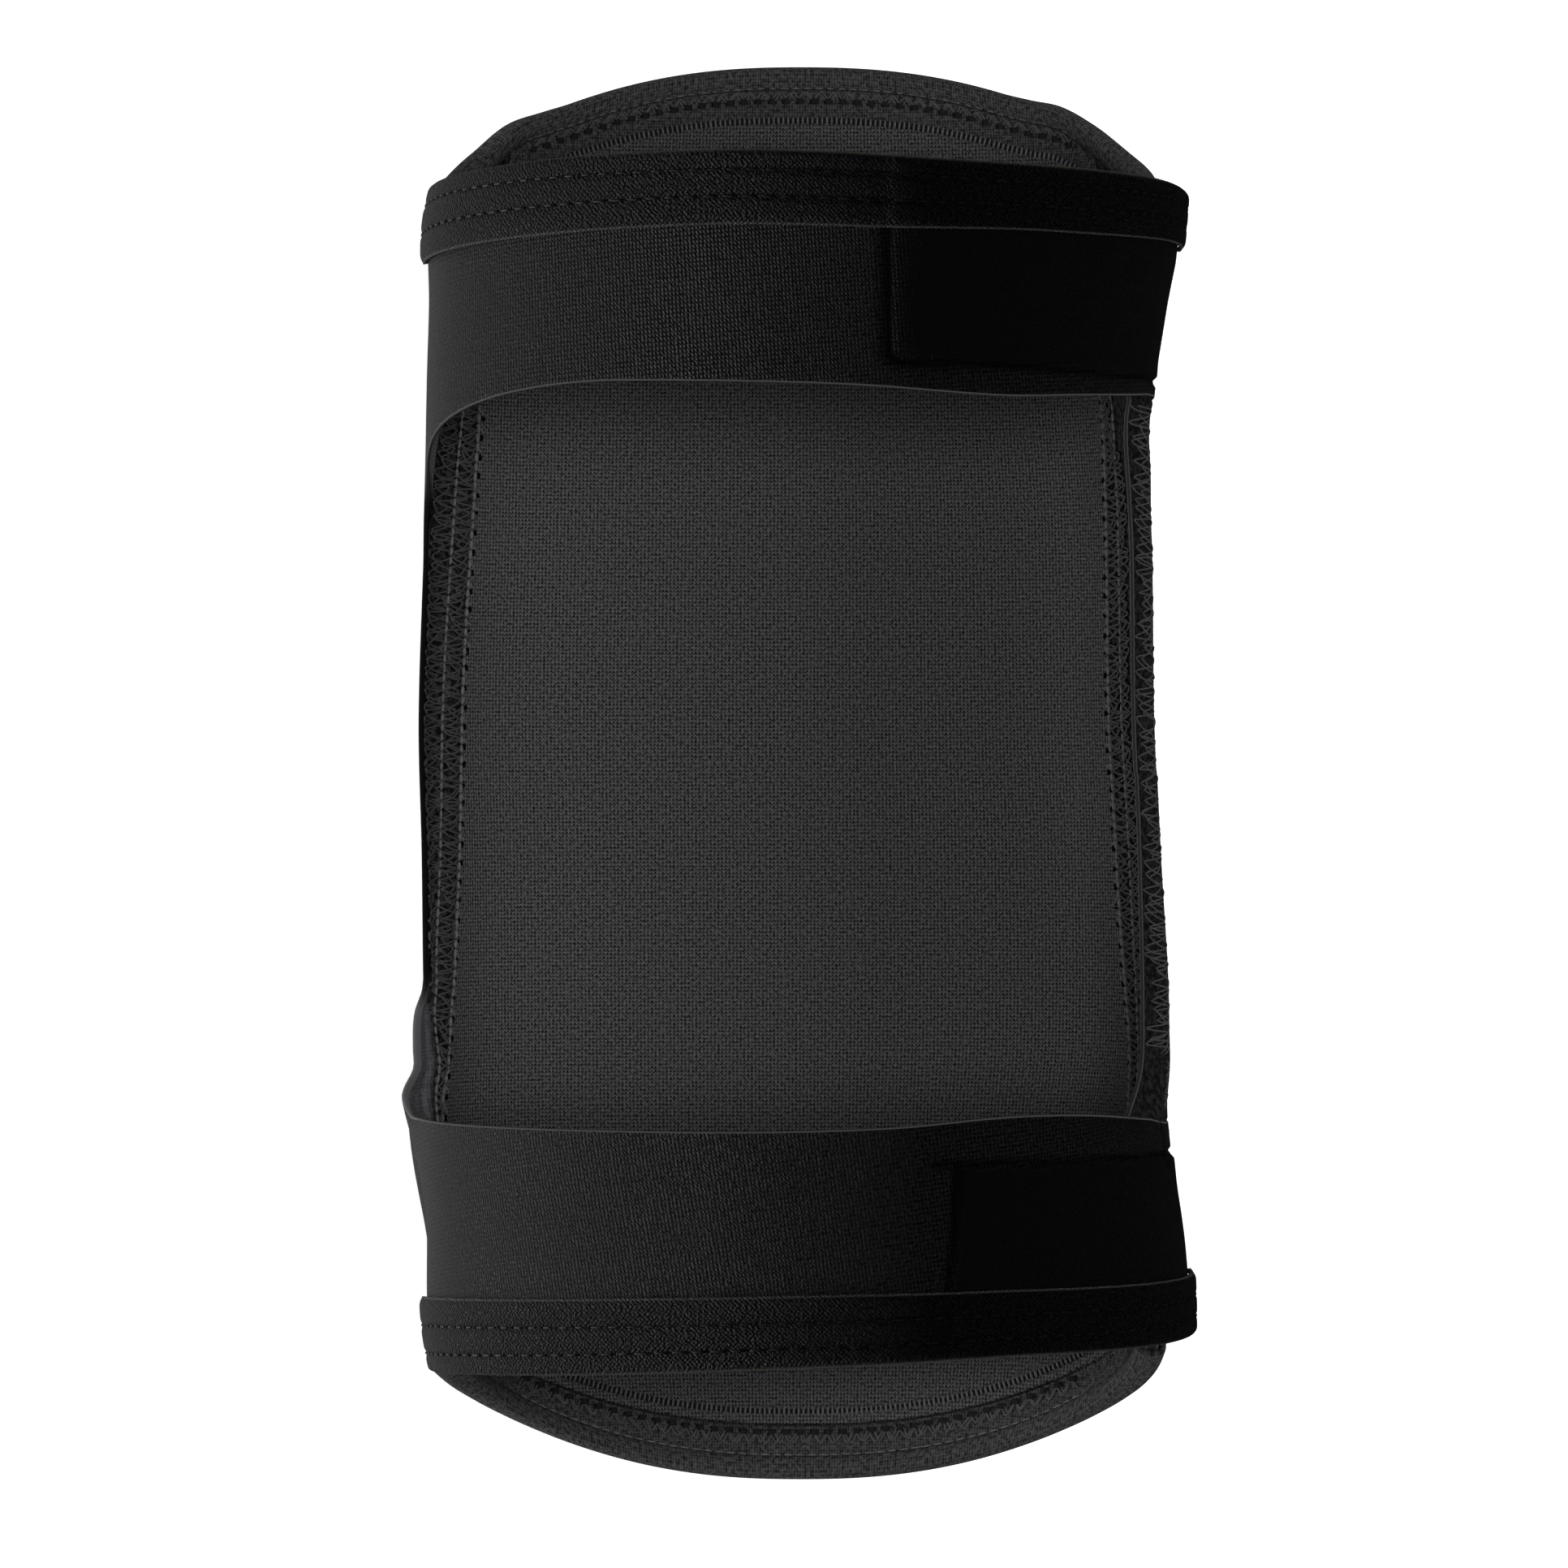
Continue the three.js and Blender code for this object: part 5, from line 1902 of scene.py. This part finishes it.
class LeftWing(bpy.types.Operator):
    """Build the left wing with both straps, cut as one piece"""

    bl_idname = "knee_pad.left_wing"
    bl_label = "Left Wing and Straps"

    def execute(self, context):
        sizes, look = settings(context)
        out = sizes.kink_out / MM
        groove = sizes.groove / MM
        cloth = Cloth()
        edges = {"inner_edge": strap_inner_edge, "edge": outer_edge}
        rows = 46
        add_wing(cloth, -1, LEFT_RIM, columns=20, arm_rows=rows, window_rows=84, **edges)
        columns = {"upper": (90, 160), "lower": (26, 226)}
        for end in END_SIGN:
            girths = sweep_girths(-1, LEFT_RIM, LEFT_SWEEP[end][0], STRAP_END, *columns[end])
            add_arm(cloth, end, girths, rows, **edges)

        def near(s, y):
            return strap_depth(s, y, out)

        def far(s, y):
            return near(s, y) + left_thickness(s, y) + strap_relief(s, y, groove)

        def turned(s, y):
            return np.clip(KINK_TURN * kink(s, y), 0, 1)

        mesh = cloth.wall(
            "left_wing_straps_cloth",
            near,
            far,
            sizes.edge_round / MM,
            [inner_jersey(look), strap_jersey(look), cut_edge(look)],
            {
                "pressed": hook_region,
                # Shade painted black down in the hook tapes' sewing
                "sewn": painted_groove_shade,
                # Shade painted dark under the flatlock seam's threads
                "seam_mat_and_shade": seam_shade(-1),
                "covered": covered,
                "turned": turned,
            },
            free_edge,
        )
        piece = add_piece(mesh, "neoprene", ["left_wing_straps"])
        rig.sheet(piece, **cloth.flat(), held="stretched", rests_on=["right_wing_cloth"])
        return {"FINISHED"}


class RightWing(bpy.types.Operator):
    """Build the right wing with the two arms that the straps close on"""

    bl_idname = "knee_pad.right_wing"
    bl_label = "Right Wing"

    def execute(self, context):
        sizes, look = settings(context)
        cloth = Cloth()
        edges = {"inner_edge": arm_inner_edge, "edge": arm_outer_edge}
        rows = 34
        add_wing(cloth, 1, RIGHT_RIM, columns=40, arm_rows=rows, window_rows=84, **edges)
        for end in END_SIGN:
            corner = RIGHT_SWEEP[end][0]
            girths = sweep_girths(1, RIGHT_RIM, corner, ARM_END[end], columns=26, straight=34)
            add_arm(cloth, end, girths, rows, **edges)

        def far(s, y):
            return wing_give(s, y) + wing_thickness(s, y)

        mesh = cloth.wall(
            "right_wing_cloth",
            wing_give,
            far,
            sizes.edge_round / MM,
            [inner_jersey(look), strap_jersey(look), cut_edge(look)],
            # Shade painted under the seam's threads, and on the inside under the upper strap
            {"seam_mat_and_shade": seam_shade(1), "overlocked": overlocked},
            free_edge,
            thin_outside=True,
        )
        piece = add_piece(mesh, "neoprene", ["right_wing"])
        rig.sheet(piece, **cloth.flat(), held="stretched", rests_on=["front_pad_soft"])
        return {"FINISHED"}


class HookTapes(bpy.types.Operator):
    """Build the hook tapes between the straps and the right wing's arms"""

    bl_idname = "knee_pad.hook_tapes"
    bl_label = "Hook Tapes"

    def execute(self, context):
        _, look = settings(context)
        nylon = hook_nylon(look)

        def near(s, y):
            return CLOTH + LAYER_GAP + give(s, y)

        def far(s, y):
            return near(s, y) + HOOK_TAPE

        for end, sign in END_SIGN.items():
            s = np.linspace(HOOK_START, HOOK_END[end], 81)[:, None]
            inner = strap_edge(end, INNER, s) + sign * HOOK_INSET_INNER
            outer = outer_edge(end, s) - sign * HOOK_INSET_OUTER
            low, high = (inner, outer) if sign > 0 else (outer, inner)
            cloth = Cloth()
            cloth.block(s, mix(low, high, np.linspace(0, 1, 33)[None, :]))
            mesh = cloth.wall(end + "_hook_tape_nylon", near, far, HOOK_TAPE_ROUND, [nylon] * 3)
            piece = add_piece(mesh, "hook_tape", [end + "_hook_tape"])
            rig.sheet(piece, **cloth.flat(), held="laid", rests_on=["right_wing_cloth"])
        return {"FINISHED"}


class Bindings(bpy.types.Operator):
    """Build the tapes folded over the straps' outer edges and over the pad's round ends"""

    bl_idname = "knee_pad.bindings"
    bl_label = "Bindings"

    def execute(self, context):
        sizes, look = settings(context)
        out = sizes.kink_out / MM
        strap_section = tape_section(STRAP_BINDING_OUTER, STRAP_BINDING_INNER, STRAP_ROWS)
        end_section = tape_section(END_BINDING_LEG, END_TAPE_LEG, ())
        strap_width, end_width = strap_section[2], end_section[2]
        braid = woven_tape(look, strap_width, STRAP_BINDING_OUTER + WORN_PAST_LEG)
        border = border_knit(look)
        strap_girths = np.linspace(STRAP_BINDING_START, -STRAP_END, 260)
        end_girths = np.linspace(-END_BINDING_REACH, END_BINDING_REACH, 200)
        strap_run = abs(strap_girths[-1] - strap_girths[0]) * MM
        end_run = END_BINDING_EASE * 2 * END_BINDING_REACH * MM

        def strap_base(s, y):
            return binding_base(s, y, out)

        def end_base(s, y):
            return np.zeros(s.shape)

        for end in END_SIGN:
            name = end + "_strap_binding"
            mesh = binding_mesh(name + "_tape", end, strap_girths, strap_section, strap_base, braid)
            piece = add_piece(mesh, "woven_tape", [name])
            flat = (strap_width * MM, strap_run)
            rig.sheet(piece, flat=flat, held="folded", rests_on=["left_wing_straps_cloth"])
            name = end + "_end_binding"
            mesh = binding_mesh(name + "_tape", end, end_girths, end_section, end_base, border)
            piece = add_piece(mesh, "woven_tape", [name])
            flat = (end_width * MM, end_run)
            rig.sheet(piece, flat=flat, held="folded", rests_on=["front_pad_soft"])
        return {"FINISHED"}


class SeamStitches(bpy.types.Operator):
    """Sew the flatlock seams between the front panel and the wings"""

    bl_idname = "knee_pad.seam_stitches"
    bl_label = "Seam Stitches"

    def execute(self, context):
        sizes, look = settings(context)
        thick = sizes.thread
        pitch = sizes.seam_pitch
        out = sizes.kink_out / MM
        light = sewing_thread(look, "polyester seam thread")
        dull = sewing_thread(look, "polyester looper thread")
        black = sewing_thread(look, "black thread and painted shade")
        chain = stitch_sizes(0.5 * pitch, 0.56 * pitch, 1.7 * thick, 1.5 * thick)
        knots = stitch_sizes(0.5 * pitch, 0.54 * pitch, 1.1 * thick, 1.2 * thick)
        flat = stitch_sizes(pitch, 0.9 * pitch, 1.2 * thick, thick)

        def inside(side, s, y, over=0.3):
            """A path over the side of a wing that touches the leg."""
            near = strap_depth(s, y, out) if side < 0 else wing_give(s, y)
            return path_on(s, y, near - over, -1)

        def outside(side, s, y, over=0.1):
            """A path over the outer side of a wing."""
            if side < 0:
                far = strap_depth(s, y, out) + left_thickness(s, y)
            else:
                far = wing_give(s, y) + wing_thickness(s, y)
            return path_on(s, y, far + over, 1)

        for side, label in ((-1, "left_seam"), (1, "right_seam")):
            first, second, _ = [seam_line(side, past) for past in FLATLOCK_LINES[side]]
            sew_row(label + "_chain", chain, [inside(side, *first)], light)
            sew_row(label + "_knots", knots, [inside(side, *second)], light)
            lines = [outside(side, *line) for line in (first, second)]
            sew_row(label + "_outer_lines", flat, lines, dull)
            for band, name, radius in ((0, "_loops", 0.42), (1, "_edge_loops", 0.38)):
                loops = [inside(side, *loop) for loop in seam_loops(side, band, pitch / MM)]
                lay_thread(label + name, radius * thick, loops, dull)
            ticks, dip_shades = seam_ticks(side, pitch / MM)
            lay_thread(label + "_ticks", 0.4 * thick, ticks, light)
            # Near-black tubes in the dip behind each tick are painted shade
            lay_thread(label + "_dip_shades", 0.95 * thick, dip_shades, black)
        return {"FINISHED"}


class StrapStitches(bpy.types.Operator):
    """Sew the bindings, the hook tapes and the right wing's rim"""

    bl_idname = "knee_pad.strap_stitches"
    bl_label = "Strap Stitches"

    def execute(self, context):
        sizes, look = settings(context)
        thick = sizes.thread
        pitch = sizes.strap_stitch_pitch
        out = sizes.kink_out / MM
        dull = sewing_thread(look, "polyester looper thread")
        dark = sewing_thread(look, "dark polyester thread")
        black = sewing_thread(look, "black thread and painted shade")
        stitch = stitch_sizes(pitch, sizes.strap_stitch, 0.9 * thick, 0.7 * thick)
        hole_shade = stitch_sizes(pitch, 0.9 * MM, 1.1 * thick, 0.3 * thick)
        sunk = stitch_sizes(2.8 * MM, 1.5 * MM, 0.9 * thick, 0.7 * thick)

        def row(end, inset, start, sink=0.25):
            """A row on a strap's tape, sunk a little into it."""
            s = np.linspace(start, -STRAP_END + 1, 300)
            edge = outer_edge(end, s)
            depth = binding_base(s, edge, out) + CLOTH + LAYER_GAP + TAPE - sink
            return path_on(s, edge - END_SIGN[end] * inset * tape_share(end, s), depth, 1)

        start = STRAP_BINDING_START - 1
        between = start - 0.5 * pitch / MM
        for end in END_SIGN:
            rows = [row(end, inset, start) for inset in STRAP_ROWS]
            sew_row(end + "_strap_stitches", stitch, rows, dark)
            # Near-black spots between the stitches are painted shade in the needle holes
            rows = [row(end, inset, between) for inset in STRAP_ROWS]
            sew_row(end + "_strap_stitch_hole_shades", hole_shade, rows, black)

        rows = []
        for line in SEWN_LINES:
            run, y = groove_line(line)
            depth = strap_depth(-run, y, out) + CLOTH - 0.85 * sizes.groove / MM
            rows.append(path_on(-run, y, depth, 1))
        # Near-black stitches, down in the hook tapes' grooves where shade is painted
        sew_row("hook_tape_stitches", sunk, rows, black)
        rim = rim_threads(1.3 * sizes.zigzag_pitch / MM)
        lay_thread("right_rim_overlock", 0.34 * thick, rim, dull)
        return {"FINISHED"}


class EndStitches(bpy.types.Operator):
    """Sew the pad's round ends: a fine row, a zigzag and the serging of the lining"""

    bl_idname = "knee_pad.end_stitches"
    bl_label = "End Stitches"

    def execute(self, context):
        sizes, look = settings(context)
        thick = sizes.thread
        pitch = sizes.zigzag_pitch / MM
        light = sewing_thread(look, "polyester seam thread")
        mid = sewing_thread(look, "polyester zigzag thread")
        painted_shade = sewing_thread(look, "painted stitch shade")
        fine = stitch_sizes(2.0 * MM, 1.7 * MM, 0.6 * thick, 0.5 * thick)
        bars = stitch_sizes(sizes.serge_pitch, 0.44 * MM, 1.7 * MM, 1.3 * thick)
        s = np.linspace(-END_SEWING_REACH, END_SEWING_REACH, 240)
        for end, sign in END_SIGN.items():
            row = [path_on(s, outer_edge(end, s) - sign * END_ROW[end], -0.9, -1)]
            sew_row(end + "_end_row", fine, row, light)
            edge = outer_edge(end, s) - sign * SERGE_INSET[end]
            sew_row(end + "_end_serging", bars, [path_on(s, edge, -0.35, -1)], light)
            # A dark tube under the serging bars is painted shade in the gaps between them
            lay_thread(end + "_end_serge_shade", 1.4 * thick, [path_on(s, edge, 0.45, -1)], painted_shade)
            # Dark tubes are painted shade in the dents of the ends' zigzag
            lay_thread(end + "_end_dip_shades", 1.5 * thick, end_dip_shades(end, pitch), painted_shade)
            lay_thread(end + "_end_zigzag", 0.36 * thick, end_zigzag(end, pitch), mid)
        return {"FINISHED"}


class Stage(bpy.types.Operator):
    """Set the pale floor, the soft light and the camera"""

    bl_idname = "knee_pad.stage"
    bl_label = "Stage"

    def execute(self, context):
        _, look = settings(context)
        scene = context.scene
        around = ((-1, -1), (1, -1), (1, 1), (-1, 1))
        corners = [(x * FLOOR_HALF, y * FLOOR_HALF, -FLOOR_DROP * MM) for x, y in around]
        mesh = bpy.data.meshes.new("studio_floor")
        mesh.from_pydata(corners, [], [(0, 1, 2, 3)])
        mesh.materials.append(studio_floor(look))
        floor = bpy.data.objects.new("studio_floor", mesh)
        floor.visible_glossy = False
        scene.collection.objects.link(floor)
        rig.stage(floor)

        lamps = {name: self.add_light(scene, name, *light) for name, light in LIGHTS.items()}
        for name in DIFFUSE_LIGHTS:
            lamps[name].visible_glossy = False
        # The card faces straight up, to shine on the straps where they turn down at the left
        lamps["left_card"].rotation_quaternion = (0, 1, 0, 0)
        lamps["left_card"].visible_camera = False

        world = scene.world or bpy.data.worlds.new("studio")
        scene.world = world
        world.use_nodes = True
        background = world.node_tree.nodes["Background"]
        background.inputs["Color"].default_value = SKY
        background.inputs["Strength"].default_value = SKY_STRENGTH
        scene.view_settings.view_transform = "Standard"

        camera = bpy.data.cameras.new("camera")
        camera.sensor_width = SENSOR
        camera.lens = LENS
        camera.clip_start = 0.05
        camera.clip_end = 20.0
        eye = bpy.data.objects.new("camera", camera)
        eye.location = [value * MM for value in CAMERA_PLACE]
        scene.collection.objects.link(eye)
        scene.camera = eye
        return {"FINISHED"}

    @staticmethod
    def add_light(scene, name, place, size, power):
        """A square soft light that faces the pad."""
        light = bpy.data.lights.new(name, "AREA")
        light.size = size
        light.energy = power
        lamp = bpy.data.objects.new(name, light)
        lamp.location = place
        away = lamp.location.copy()
        away.z -= LIGHT_AIM
        lamp.rotation_mode = "QUATERNION"
        lamp.rotation_quaternion = (-away).to_track_quat("-Z", "Y")
        scene.collection.objects.link(lamp)
        return lamp


PIECES = (
    FrontPad,
    Lining,
    LeftWing,
    RightWing,
    HookTapes,
    Bindings,
    SeamStitches,
    StrapStitches,
    EndStitches,
    Stage,
)


class KneePadPanel(bpy.types.Panel):
    """Sizes, colours and the steps that build the knee pad"""

    bl_idname = "VIEW3D_PT_knee_pad"
    bl_label = "Knee Pad"
    bl_space_type = "VIEW_3D"
    bl_region_type = "UI"
    bl_category = "Knee Pad"

    def draw(self, context):
        for group in settings(context):
            column = self.layout.column(align=True)
            for name in group.__annotations__:
                column.prop(group, name)
        column = self.layout.column(align=True)
        for piece in PIECES:
            column.operator(piece.bl_idname)


CLASSES = (KneePadSizes, KneePadLook, *PIECES, KneePadPanel)


def register():
    for item in CLASSES:
        bpy.utils.register_class(item)
    bpy.types.Scene.knee_pad_sizes = bpy.props.PointerProperty(type=KneePadSizes)
    bpy.types.Scene.knee_pad_look = bpy.props.PointerProperty(type=KneePadLook)


def unregister():
    del bpy.types.Scene.knee_pad_look
    del bpy.types.Scene.knee_pad_sizes
    for item in reversed(CLASSES):
        bpy.utils.unregister_class(item)


def main():
    register()
    bpy.ops.knee_pad.front_pad()
    bpy.ops.knee_pad.lining()
    bpy.ops.knee_pad.left_wing()
    bpy.ops.knee_pad.right_wing()
    bpy.ops.knee_pad.hook_tapes()
    bpy.ops.knee_pad.bindings()
    bpy.ops.knee_pad.seam_stitches()
    bpy.ops.knee_pad.strap_stitches()
    bpy.ops.knee_pad.end_stitches()
    bpy.ops.knee_pad.stage()
    boxes = {"cad": CAD_BOX, "visual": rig.bounds()}
    with open("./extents.json", "w") as file:
        json.dump({name: [list(corner) for corner in box] for name, box in boxes.items()}, file)


if __name__ == "__main__":
    main()
